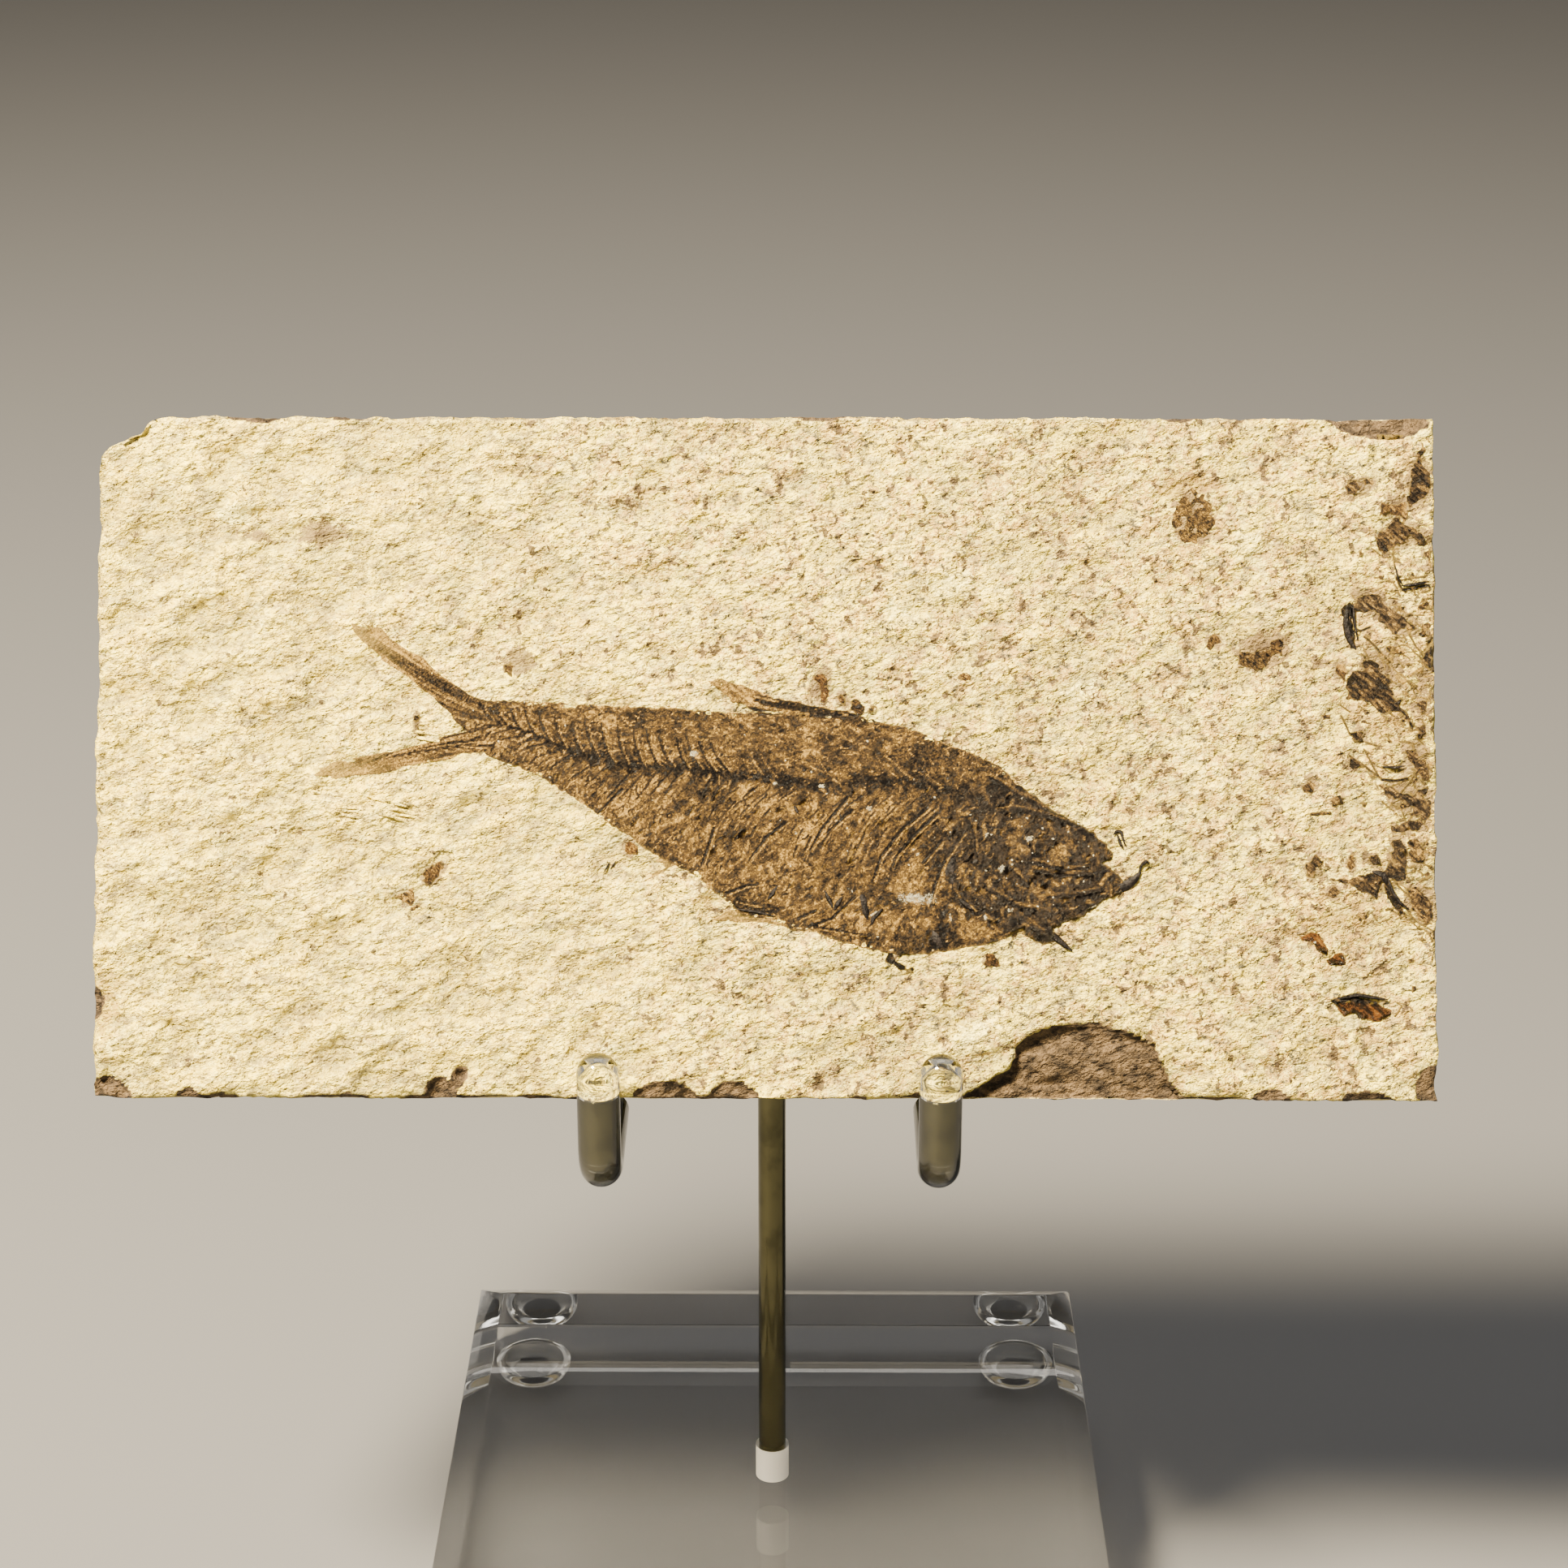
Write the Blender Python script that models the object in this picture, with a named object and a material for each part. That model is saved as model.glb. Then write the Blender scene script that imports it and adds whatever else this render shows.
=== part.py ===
# Fossil fish slab: a split limestone slab with a small fish on its face, leaning back in a stand.
# The stand is a clear block on four bumpers, a brass post and a brass cradle with two sleeved hooks.
# Metres, +Z up. The origin is on the floor under the middle of the block, and the fish faces -Y.
import math
import bpy
import bmesh
from mathutils import Matrix, Vector, noise

MM = 0.001
GAP = 0.3 * MM

# Slab
SLAB_WIDTH = 144 * MM
SLAB_HEIGHT = 73.5 * MM
SLAB_THICKNESS = 12.7 * MM
SLAB_LEAN = math.radians(24)
SLAB_SHIFT = -0.6 * MM
SLAB_EDGE_Y = -22 * MM
SLAB_EDGE_Z = 75.5 * MM
SLAB_CELLS = (26, 13)
SLAB_LAYERS = 3
FACE_RELIEF = 0.16 * MM
BACK_RELIEF = 0.55 * MM
EDGE_RELIEF = 0.4 * MM

# Fish and stray bones
BED_DEPTH = 0.8 * MM
SKIN_HEIGHT = 0.3 * MM
SKULL_HEIGHT = 0.75 * MM
BONE_DEPTH = 0.3 * MM
BED_MARGIN = 0.35 * MM

# Stand
BLOCK_SIDE = 76.2 * MM
BLOCK_HEIGHT = 15.9 * MM
BLOCK_BOTTOM = 3 * MM
EASED_WIDTH = 3.2 * MM
EASED_DROP = 1.3 * MM
HOLE_RADIUS = 1.95 * MM
HOLE_DEPTH = 9.5 * MM
FOOT_RADIUS = 4.75 * MM
FOOT_FLAT_RADIUS = 2.2 * MM
FOOT_INSET = 7.2 * MM
ROD_RADIUS = 3.175 * MM / 2
ROD_SIDES = 12
CRADLE_HALF_SPAN = 18.1 * MM
CRADLE_BACK_Y = 2.7 * MM
LEG_BEND = 4.2 * MM
BACK_BEND = 5 * MM
LEG_TOP = 77.6 * MM
SLEEVE_RADIUS = 2.3 * MM
SLEEVE_BORE = 1.9 * MM
SLEEVE_TOP = 82.3 * MM
SLEEVE_BACK_Y = -8.5 * MM
BRAZE_RADIUS = 2.6 * MM

BLOCK_TOP = BLOCK_BOTTOM + BLOCK_HEIGHT
LOW_BACK_Y = SLAB_EDGE_Y + SLAB_THICKNESS * math.cos(SLAB_LEAN)
LOW_BACK_Z = SLAB_EDGE_Z - SLAB_THICKNESS * math.sin(SLAB_LEAN)
ARM_Z = LOW_BACK_Z - GAP - SLEEVE_RADIUS - BACK_RELIEF / 2
LEG_Y = SLAB_EDGE_Y - GAP - SLEEVE_RADIUS - EDGE_RELIEF
POST_REACH = ROD_RADIUS + GAP + BACK_RELIEF
POST_DOME_Z = LOW_BACK_Z - (LOW_BACK_Y * math.cos(SLAB_LEAN) + POST_REACH) / math.sin(SLAB_LEAN)

# Outlines and bone lines are millimetres on the slab's face: across from its middle, up from its foot.
FISH_OUTLINE = [
    (-44.1, 50.8), (-42.0, 50.2), (-38.7, 48.5), (-35.6, 46.0), (-33.0, 43.9), (-30.7, 42.7),
    (-27.0, 42.7), (-18.0, 42.3), (-10.1, 42.0), (-4.6, 41.6), (-0.8, 41.6), (-3.6, 42.8),
    (-6.4, 44.9), (-2.5, 44.3), (1.2, 42.9), (6.7, 41.7), (11.3, 41.0), (15.2, 39.9), (19.9, 38.0),
    (23.9, 36.4), (26.9, 34.1), (30.1, 31.7), (34.2, 29.4), (37.0, 27.2), (37.4, 25.9), (40.7, 25.6),
    (40.3, 23.6), (36.3, 21.2), (32.5, 19.0), (30.9, 18.4), (32.8, 16.0), (30.3, 16.2), (27.6, 17.6),
    (25.3, 16.9), (18.2, 15.7), (13.1, 15.7), (8.1, 17.0), (1.4, 18.9), (-3.9, 19.8), (-5.6, 22.4),
    (-9.8, 24.6), (-14.6, 28.2), (-19.4, 31.5), (-24.2, 34.5), (-29.8, 36.9), (-34.2, 36.4),
    (-38.5, 35.4), (-43.0, 34.7), (-48.2, 34.9), (-43.0, 36.4), (-38.6, 37.5), (-34.6, 38.6),
    (-32.4, 39.7), (-35.4, 42.9), (-38.7, 45.3), (-41.9, 47.8),
]
BACKBONE = [
    (-31.2, 40.3), (-26.5, 39.6), (-21.5, 37.6), (-16.3, 36.1), (-9.6, 35.5), (-3.2, 34.8), (2.9, 34.1),
    (8.7, 33.6), (14.4, 34.2), (19.5, 33.3), (23.3, 32.0),
]
SKULL_MIDDLE = (28.5, 25.8)
SKULL_REACH = (11.5, 8.5)
SKULL_BONES = [
    [(20.8, 31.4), (20.4, 28.2), (19.8, 25.4), (20.4, 22.4), (22.4, 19.4)],
    [(35.0, 22.8), (37.2, 22.6), (39.2, 23.3), (40.3, 25.2)],
    [(24.5, 33.2), (29.0, 31.0), (33.5, 28.6), (36.6, 26.6)],
    [(23.5, 22.5), (27.0, 20.6), (31.0, 20.6)],
    [(27.8, 17.6), (30.2, 16.9), (32.3, 16.4)],
]
CHEST_BONES = [
    [(-3.2, 20.4), (1.5, 19.6), (6.0, 18.4)],
    [(4.5, 18.7), (9.5, 17.3), (14.5, 16.5)],
    [(12.5, 16.6), (18.0, 16.5), (24.5, 17.6)],
    [(19.0, 19.6), (22.5, 18.7), (26.0, 18.9)],
]
RIB_COUNT = 15
RIB_FIRST = (17.6, 33.2)
RIB_LAST = (-9.0, 34.6)
SPINE_COUNT = 22
HAEMAL_COUNT = 9
TAIL_RAYS = 6

# Stray bones: a line on the face with the bone's width and height in millimetres.
STRAY_BONES = [
    ([(69.9, 64.4), (70.3, 66.6), (70.2, 68.7)], 1.6, 0.45),
    ([(65.6, 59.4), (66.6, 61.2), (68.8, 61.7), (70.9, 60.6)], 1.1, 0.45),
    ([(63.2, 48.6), (62.4, 50.4), (62.3, 52.0), (63.2, 53.2)], 0.9, 0.5),
    ([(63.4, 55.0), (65.0, 54.4), (66.6, 53.9)], 1.5, 0.4),
    ([(67.0, 52.4), (69.2, 50.9)], 1.3, 0.4),
    ([(62.6, 44.4), (64.8, 43.4), (67.2, 41.8), (69.6, 40.4)], 1.1, 0.5),
    ([(69.9, 38.0), (69.4, 36.4), (70.0, 34.8)], 1.9, 0.45),
    ([(67.2, 33.2), (69.2, 32.2), (70.9, 31.4)], 1.9, 0.45),
    ([(67.9, 28.0), (67.6, 25.6), (67.5, 23.4)], 1.5, 0.55),
    ([(60.6, 23.4), (63.4, 24.0), (65.9, 24.5)], 1.0, 0.5),
    ([(66.6, 21.9), (67.6, 20.9), (68.9, 20.1)], 0.7, 0.45),
]

# Bites out of the slab's edges: middle, half sizes and how far each is tipped about the face's normal.
EDGE_BITES = [
    ((65.4, 73.4), (5.6, 1.7), 3.0, -4),
    ((-70.6, 0.2), (2.9, 2.4), 3.5, 30),
    ((-71.9, 10.2), (1.3, 2.1), 2.6, 8),
    ((-34.0, 0.0), (2.3, 3.3), 2.4, 12),
    ((-10.6, -0.2), (4.0, 1.9), 2.2, -5),
    ((-3.6, -0.2), (2.9, 1.7), 2.0, 6),
    ((-61.6, -0.2), (1.5, 1.1), 2.0, 0),
    ((71.9, 2.6), (1.5, 1.9), 3.0, -20),
    ((72.0, 47.9), (1.4, 1.6), 2.4, 15),
]
CORNER_BREAK = [
    (-76, 64.5), (-72.2, 66.9), (-71.4, 69.2), (-69.9, 70.2), (-67.7, 71.0), (-66.4, 72.4), (-64.6, 73.9),
    (-64.0, 77), (-76, 77),
]
BIG_CHIP = [
    (20.6, -2), (21.6, 0.7), (24.3, 2.3), (26.4, 3.4), (26.8, 5.7), (28.8, 7.3), (33.5, 8.4), (36.2, 8.3),
    (38.9, 7.5), (41.8, 6.2), (42.4, 4.6), (43.2, 2.8), (44.7, 0.8), (45.6, -2),
]
CHIP_WALL = 1.3
CHIP_FALL = 0.22


def make_material(name, colour, roughness, metallic=0.0, transmission=0.0, ior=1.5):
    material = bpy.data.materials.new(name)
    material.use_nodes = True
    surface = material.node_tree.nodes["Principled BSDF"]
    surface.inputs["Base Color"].default_value = (*colour, 1)
    surface.inputs["Roughness"].default_value = roughness
    surface.inputs["Metallic"].default_value = metallic
    surface.inputs["Transmission Weight"].default_value = transmission
    surface.inputs["IOR"].default_value = ior
    return material


def add_object(name, bm, material, parent=None):
    bmesh.ops.recalc_face_normals(bm, faces=bm.faces)
    mesh = bpy.data.meshes.new(name)
    bm.to_mesh(mesh)
    bm.free()
    obj = bpy.data.objects.new(name, mesh)
    bpy.context.collection.objects.link(obj)
    if material:
        mesh.materials.append(material)
    if parent:
        obj.parent = parent
    return obj


def add_cutter(name, bm, parent=None):
    cutter = add_object(name, bm, None, parent)
    cutter.hide_render = True
    cutter.display_type = "WIRE"
    return cutter


def combine(obj, other, operation, self_overlaps=False):
    boolean = obj.modifiers.new(other.name, "BOOLEAN")
    boolean.operation = operation
    boolean.object = other
    boolean.use_self = self_overlaps
    return boolean


def smooth(obj, angle):
    obj.data.shade_smooth()
    obj.data.set_sharp_from_angle(angle=math.radians(angle))


# Sweeps: rods, sleeves, feet and holes are rings of points skinned along a line.
def rounded_path(corners, bends, steps):
    points = [corners[0]]
    for before, corner, after, bend in zip(corners, corners[1:], corners[2:], bends):
        into = (corner - before).normalized()
        out = (after - corner).normalized()
        start = corner - into * bend
        centre = start + out * bend
        for step in range(steps + 1):
            turn = math.pi / 2 * step / steps
            points.append(centre - out * bend * math.cos(turn) + into * bend * math.sin(turn))
    points.append(corners[-1])
    return points


def path_frames(points):
    frames = []
    side = None
    for index, point in enumerate(points):
        before = points[max(index - 1, 0)]
        after = points[min(index + 1, len(points) - 1)]
        along = (after - before).normalized()
        if side is None:
            side = along.orthogonal().normalized()
        side = (side - along * side.dot(along)).normalized()
        frames.append((point, along, side, along.cross(side)))
    return frames


def add_ring(bm, frame, radius, sides, offset=0.0):
    point, along, side, up = frame
    ring = []
    for index in range(sides):
        angle = math.tau * index / sides
        spoke = side * math.cos(angle) + up * math.sin(angle)
        ring.append(bm.verts.new(point + along * offset + spoke * radius))
    return ring


def skin_rings(bm, rings):
    for lower, upper in zip(rings, rings[1:]):
        count = len(lower)
        for index in range(count):
            after = (index + 1) % count
            bm.faces.new((lower[index], lower[after], upper[after], upper[index]))
    bm.faces.new(rings[0])
    bm.faces.new(rings[-1])


def dome_stations(frame, radius, steps, outward=1):
    stations = []
    for step in range(1, steps):
        angle = math.pi / 2 * step / steps
        stations.append((frame, radius * math.cos(angle), outward * radius * math.sin(angle)))
    return stations


def swept(stations, sides):
    bm = bmesh.new()
    rings = [add_ring(bm, frame, radius, sides, offset) for frame, radius, offset in stations]
    skin_rings(bm, rings)
    return bm


def turned(profile, sides):
    bm = bmesh.new()
    upright = (Vector(), Vector((0, 0, 1)), Vector((1, 0, 0)), Vector((0, 1, 0)))
    rings = [add_ring(bm, upright, radius, sides, height) for radius, height in profile]
    skin_rings(bm, rings)
    return bm


# Slab
def face_rise(across, up):
    """How far the split face stands out at a place on it, in metres."""
    broad = noise.noise(Vector((across * 45, up * 45, 3.1)))
    fine = noise.noise(Vector((across * 150, up * 150, 8.7)))
    return FACE_RELIEF * (broad + 0.4 * fine)


def rough_edge(along, layer, seed):
    broad = noise.noise(Vector((along * 90, layer * 1.3, seed)))
    fine = noise.noise(Vector((along * 260, layer * 2.1, seed + 5)))
    return EDGE_RELIEF * (broad + 0.6 * fine)


def slab_mesh():
    bm = bmesh.new()
    columns, rows = SLAB_CELLS
    upright = Matrix.Translation((0, SLAB_THICKNESS, SLAB_HEIGHT / 2)) @ Matrix.Rotation(math.pi / 2, 4, "X")
    bmesh.ops.create_grid(bm, x_segments=columns, y_segments=rows, size=0.5, matrix=upright)
    for vert in bm.verts:
        vert.co.x *= SLAB_WIDTH
        vert.co.z = SLAB_HEIGHT / 2 + (vert.co.z - SLAB_HEIGHT / 2) * SLAB_HEIGHT
    faces = list(bm.faces)
    for layer in range(SLAB_LAYERS):
        grown = bmesh.ops.extrude_face_region(bm, geom=faces)["geom"]
        if layer > 0:
            bmesh.ops.delete(bm, geom=faces, context="FACES_ONLY")
        faces = [item for item in grown if isinstance(item, bmesh.types.BMFace)]
        moved = [item for item in grown if isinstance(item, bmesh.types.BMVert)]
        bmesh.ops.translate(bm, verts=moved, vec=(0, -SLAB_THICKNESS / SLAB_LAYERS, 0))
    half = SLAB_WIDTH / 2 - 0.01 * MM
    top = SLAB_HEIGHT - 0.01 * MM
    for vert in bm.verts:
        across, depth, up = vert.co
        layer = depth / SLAB_THICKNESS * SLAB_LAYERS
        on_front = layer < 0.5
        on_back = layer > SLAB_LAYERS - 0.5
        if abs(across) > half:
            inward = abs(rough_edge(up, layer, 11 + math.copysign(4, across)))
            vert.co.x -= math.copysign(inward + (0.25 * MM if on_front else 0), across)
        if up > top or up < 0.01 * MM:
            inward = abs(rough_edge(across, layer, 31 if up > top else 37))
            vert.co.z += -inward if up > top else inward
        if on_front:
            vert.co.y -= face_rise(across, up) - FACE_RELIEF
        elif on_back:
            vert.co.y -= BACK_RELIEF * abs(noise.noise(Vector((across * 70, up * 70, 21))))
    return bm


def bite_mesh(centre, half_sizes, depth, tip):
    bm = bmesh.new()
    bmesh.ops.create_icosphere(bm, subdivisions=2, radius=1)
    for vert in bm.verts:
        vert.co *= 1 + 0.25 * noise.noise(vert.co * 1.7 + Vector((centre[0], 0, centre[1])))
    sizes = Matrix.Diagonal((half_sizes[0] * MM, depth * MM, half_sizes[1] * MM, 1))
    place = Matrix.Translation((centre[0] * MM, -0.4 * MM, centre[1] * MM))
    turn = Matrix.Rotation(math.radians(tip), 4, "Y")
    bmesh.ops.transform(bm, matrix=place @ turn @ sizes, verts=bm.verts)
    return bm


def plate_mesh(outline, front, depth_at):
    """A plate with the given outline, flat in front and as deep as depth_at says behind."""
    bm = bmesh.new()
    near = [bm.verts.new((x * MM, front, z * MM)) for x, z in outline]
    far = [bm.verts.new((x * MM, depth_at(x, z), z * MM)) for x, z in outline]
    skin_rings(bm, [near, far])
    return bm


def grown_outline(outline, margin):
    """The outline moved out by margin on every side, with its sharp points cut short."""
    points = [Vector(point) for point in outline]
    area = sum(a.x * b.y - b.x * a.y for a, b in zip(points, points[1:] + points[:1]))
    outward = 1 if area > 0 else -1
    grown = []
    for index, point in enumerate(points):
        into = (point - points[index - 1]).normalized()
        out = (points[(index + 1) % len(points)] - point).normalized()
        normals = [Vector((edge.y, -edge.x)) * outward for edge in (into, out)]
        middle = (normals[0] + normals[1]) / 2
        stretch = min(1 / max(middle.length_squared, 0.01), 2.2)
        grown.append(tuple(point + middle * stretch * margin / MM))
    return grown


# Fish
def point_on(line, share):
    place = share * (len(line) - 1)
    index = min(int(place), len(line) - 2)
    return Vector(line[index]).lerp(Vector(line[index + 1]), place - index)


def fish_rise(across, up):
    """How far the fish's plate stands out of the slab's face, in metres."""
    reach = Vector(((across - SKULL_MIDDLE[0]) / SKULL_REACH[0], (up - SKULL_MIDDLE[1]) / SKULL_REACH[1]))
    skull = max(0.0, 1 - reach.length_squared)
    lumps = noise.noise(Vector((across * 0.5, up * 0.5, 2))) * 0.12 * MM
    return SKIN_HEIGHT + (SKULL_HEIGHT - SKIN_HEIGHT) * math.sqrt(skull) + lumps


def fish_plate():
    """A block over the whole fish with a lumpy front, to be trimmed to the outline."""
    left, right, low, high = -50, 43, 13, 53
    columns, rows = 34, 14
    bm = bmesh.new()
    grid = []
    for row in range(rows + 1):
        up = low + (high - low) * row / rows
        line = []
        for column in range(columns + 1):
            across = left + (right - left) * column / columns
            line.append(bm.verts.new((across * MM, -fish_rise(across, up), up * MM)))
        grid.append(line)
    for lower, upper in zip(grid, grid[1:]):
        for index in range(columns):
            bm.faces.new((lower[index], lower[index + 1], upper[index + 1], upper[index]))
    rim = grid[0] + [line[-1] for line in grid[1:-1]] + grid[-1][::-1] + [line[0] for line in grid[-2:0:-1]]
    back = [bm.verts.new((vert.co.x, BED_DEPTH - GAP, vert.co.z)) for vert in rim]
    for index in range(len(rim)):
        after = (index + 1) % len(rim)
        bm.faces.new((rim[index], rim[after], back[after], back[index]))
    bm.faces.new(back)
    return bm


def add_ridge(bm, line, width, height, depth, rise=0.0):
    """A bone: a line on the face with a crest in front, a keel behind and narrowed ends."""
    points = [Vector(point) for point in line]
    rings = []
    for index, point in enumerate(points):
        before = points[max(index - 1, 0)]
        after = points[min(index + 1, len(points) - 1)]
        along = (after - before).normalized()
        share = index / (len(points) - 1)
        taper = 0.45 + 0.55 * math.sin(math.pi * (0.12 + 0.76 * share))
        side = Vector((-along.y, along.x)) * width * taper / 2
        crest = rise + height * (0.6 + 0.4 * taper)
        corners = [(point + side, rise), (point, crest), (point - side, rise), (point, -depth)]
        rings.append([bm.verts.new((spot.x * MM, -out * MM, spot.y * MM)) for spot, out in corners])
    skin_rings(bm, rings)


def fish_bones():
    bm = bmesh.new()
    keel = 0.1
    skin = SKIN_HEIGHT / MM - 0.08
    dense = [tuple(point_on(BACKBONE, step / 20)) for step in range(21)]
    add_ridge(bm, dense, 1.5, 0.5, keel, skin)
    for index in range(SPINE_COUNT):
        share = 0.03 + 0.8 * index / (SPINE_COUNT - 1)
        foot = point_on(BACKBONE, share)
        length = 3.2 + 2.4 * math.sin(math.pi * (0.2 + 0.6 * share))
        bend = foot + Vector((-0.45, 0.55)) * length
        tip = foot + Vector((-1.0, 1.0)) * length * 0.82
        if tip.y < 41.4:
            add_ridge(bm, [tuple(foot), tuple(bend), tuple(tip)], 0.5, 0.28, keel, skin)
    for index in range(HAEMAL_COUNT):
        foot = point_on(BACKBONE, 0.08 + 0.3 * index / (HAEMAL_COUNT - 1))
        length = 2.2 + 0.32 * index
        tip = foot + Vector((-0.75, -0.66)) * length
        add_ridge(bm, [tuple(foot), tuple(tip)], 0.5, 0.24, keel, skin)
    for index in range(RIB_COUNT):
        share = index / (RIB_COUNT - 1)
        head = Vector(RIB_FIRST).lerp(Vector(RIB_LAST), share)
        length = 13.5 - 5.5 * share
        middle = head + Vector((-0.26, -0.5)) * length
        tip = head + Vector((-0.34, -0.98)) * length
        add_ridge(bm, [tuple(head), tuple(middle), tuple(tip)], 0.6, 0.32, keel, skin)
    for lobe_tip in ((-43.4, 50.2), (-46.9, 35.1)):
        for index in range(TAIL_RAYS):
            root = Vector((-32.6, 41.9 - 0.62 * index))
            if lobe_tip[1] < root.y:
                root.y -= 0.9
            reach = 0.9 - 0.1 * index if lobe_tip[1] > root.y else 0.4 + 0.1 * index
            tip = root.lerp(Vector(lobe_tip), reach)
            add_ridge(bm, [tuple(root), tuple(tip)], 0.4, 0.2 + 0.013 * index, keel, skin)
    for line in SKULL_BONES:
        add_ridge(bm, line, 1.2, 0.45, keel, skin + 0.25)
    for index, line in enumerate(CHEST_BONES):
        add_ridge(bm, line, 1.1, 0.4 + 0.03 * index, keel, skin)
    return bm


# Stand
def block_mesh():
    bm = bmesh.new()
    half = BLOCK_SIDE / 2
    easing_steps = 5
    levels = [(half - 0.4 * MM, BLOCK_BOTTOM), (half, BLOCK_BOTTOM + 0.4 * MM)]
    for step in range(easing_steps + 1):
        angle = math.pi / 2 * step / easing_steps
        inset = EASED_WIDTH * (1 - math.cos(angle))
        drop = EASED_DROP * (1 - math.sin(angle))
        levels.append((half - inset, BLOCK_TOP - drop))
    corner = math.sqrt(2)
    rings = []
    for reach, height in levels:
        ring = []
        for index in range(4):
            angle = math.pi / 4 + math.pi / 2 * index
            spot = (reach * corner * math.cos(angle), reach * corner * math.sin(angle), height)
            ring.append(bm.verts.new(spot))
        rings.append(ring)
    skin_rings(bm, rings)
    return bm


def cradle_path():
    span = CRADLE_HALF_SPAN
    corners = [
        Vector((-span, LEG_Y, LEG_TOP)),
        Vector((-span, LEG_Y, ARM_Z)),
        Vector((-span, CRADLE_BACK_Y, ARM_Z)),
        Vector((span, CRADLE_BACK_Y, ARM_Z)),
        Vector((span, LEG_Y, ARM_Z)),
        Vector((span, LEG_Y, LEG_TOP)),
    ]
    return rounded_path(corners, (LEG_BEND, BACK_BEND, BACK_BEND, LEG_BEND), 6)


def armature_object(material):
    frames = path_frames(cradle_path())
    chamfer = 0.2 * MM
    stations = [(frames[0], ROD_RADIUS - chamfer, 0.0), (frames[0], ROD_RADIUS, chamfer)]
    stations += [(frame, ROD_RADIUS, 0.0) for frame in frames[1:-1]]
    stations += [(frames[-1], ROD_RADIUS, -chamfer), (frames[-1], ROD_RADIUS - chamfer, 0.0)]
    armature = add_object("brass_armature", swept(stations, ROD_SIDES), material)
    foot = BLOCK_TOP - HOLE_DEPTH + GAP
    profile = [(ROD_RADIUS - chamfer, foot), (ROD_RADIUS, foot + chamfer), (ROD_RADIUS, POST_DOME_Z)]
    for step in range(1, 5):
        angle = math.pi / 2 * step / 5
        profile.append((ROD_RADIUS * math.cos(angle), POST_DOME_Z + ROD_RADIUS * math.sin(angle)))
    combine(armature, add_cutter("post_rod", turned(profile, ROD_SIDES)), "UNION")
    braze = bmesh.new()
    bmesh.ops.create_icosphere(braze, subdivisions=2, radius=BRAZE_RADIUS)
    shape = Matrix.Translation((0, CRADLE_BACK_Y / 2, ARM_Z)) @ Matrix.Diagonal((1, 0.72, 0.8, 1))
    bmesh.ops.transform(braze, matrix=shape, verts=braze.verts)
    combine(armature, add_cutter("braze_bead", braze), "UNION")
    return armature


def sleeve_mesh(side):
    span = side * CRADLE_HALF_SPAN
    corners = [
        Vector((span, LEG_Y, SLEEVE_TOP - SLEEVE_RADIUS)),
        Vector((span, LEG_Y, ARM_Z)),
        Vector((span, SLEEVE_BACK_Y, ARM_Z)),
    ]
    frames = path_frames(rounded_path(corners, (LEG_BEND,), 6))
    dome = dome_stations(frames[0], SLEEVE_RADIUS, 5, outward=-1)
    stations = dome[::-1] + [(frame, SLEEVE_RADIUS, 0.0) for frame in frames]
    plug = SLEEVE_TOP - SLEEVE_RADIUS - LEG_TOP - GAP
    bore = [(frame, SLEEVE_BORE, 0.0) for frame in frames[:0:-1]]
    stations += bore + [(frames[0], SLEEVE_BORE, plug)]
    return swept(stations, 12)


def foot_mesh():
    top = BLOCK_BOTTOM - GAP
    profile = [(FOOT_FLAT_RADIUS, 0.0)]
    for step in range(1, 4):
        angle = math.pi / 2 * step / 4
        radius = FOOT_FLAT_RADIUS + (FOOT_RADIUS - FOOT_FLAT_RADIUS) * math.sin(angle)
        profile.append((radius, (top - 0.4 * MM) * (1 - math.cos(angle))))
    profile += [(FOOT_RADIUS, top - 0.4 * MM), (FOOT_RADIUS - 0.15 * MM, top)]
    return turned(profile, 16)


def build_slab(parent, materials):
    slab = add_object("slab", slab_mesh(), materials["limestone"], parent)
    bites = [bite_mesh(*bite) for bite in EDGE_BITES]
    for index, bite in enumerate(bites):
        combine(slab, add_cutter(f"edge_bite_{index + 1}", bite, parent), "DIFFERENCE")
    corner = plate_mesh(CORNER_BREAK, -3 * MM, lambda x, z: SLAB_THICKNESS + 3 * MM)
    combine(slab, add_cutter("corner_break", corner, parent), "DIFFERENCE")
    chip = plate_mesh(BIG_CHIP, -2 * MM, lambda x, z: (CHIP_WALL + CHIP_FALL * (8.4 - z)) * MM)
    combine(slab, add_cutter("big_chip", chip, parent), "DIFFERENCE")
    bed = plate_mesh(grown_outline(FISH_OUTLINE, BED_MARGIN), -2 * MM, lambda x, z: BED_DEPTH)
    combine(slab, add_cutter("fish_bed", bed, parent), "DIFFERENCE")
    beds = bmesh.new()
    for line, width, height in STRAY_BONES:
        start = Vector(line[0]) - (Vector(line[1]) - Vector(line[0])).normalized() * BED_MARGIN / MM
        end = Vector(line[-1]) - (Vector(line[-2]) - Vector(line[-1])).normalized() * BED_MARGIN / MM
        longer = [tuple(start), *line[1:-1], tuple(end)]
        add_ridge(beds, longer, width + 1.1, 1.5, (BONE_DEPTH + GAP) / MM)
    combine(slab, add_cutter("bone_beds", beds, parent), "DIFFERENCE")
    return slab


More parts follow.
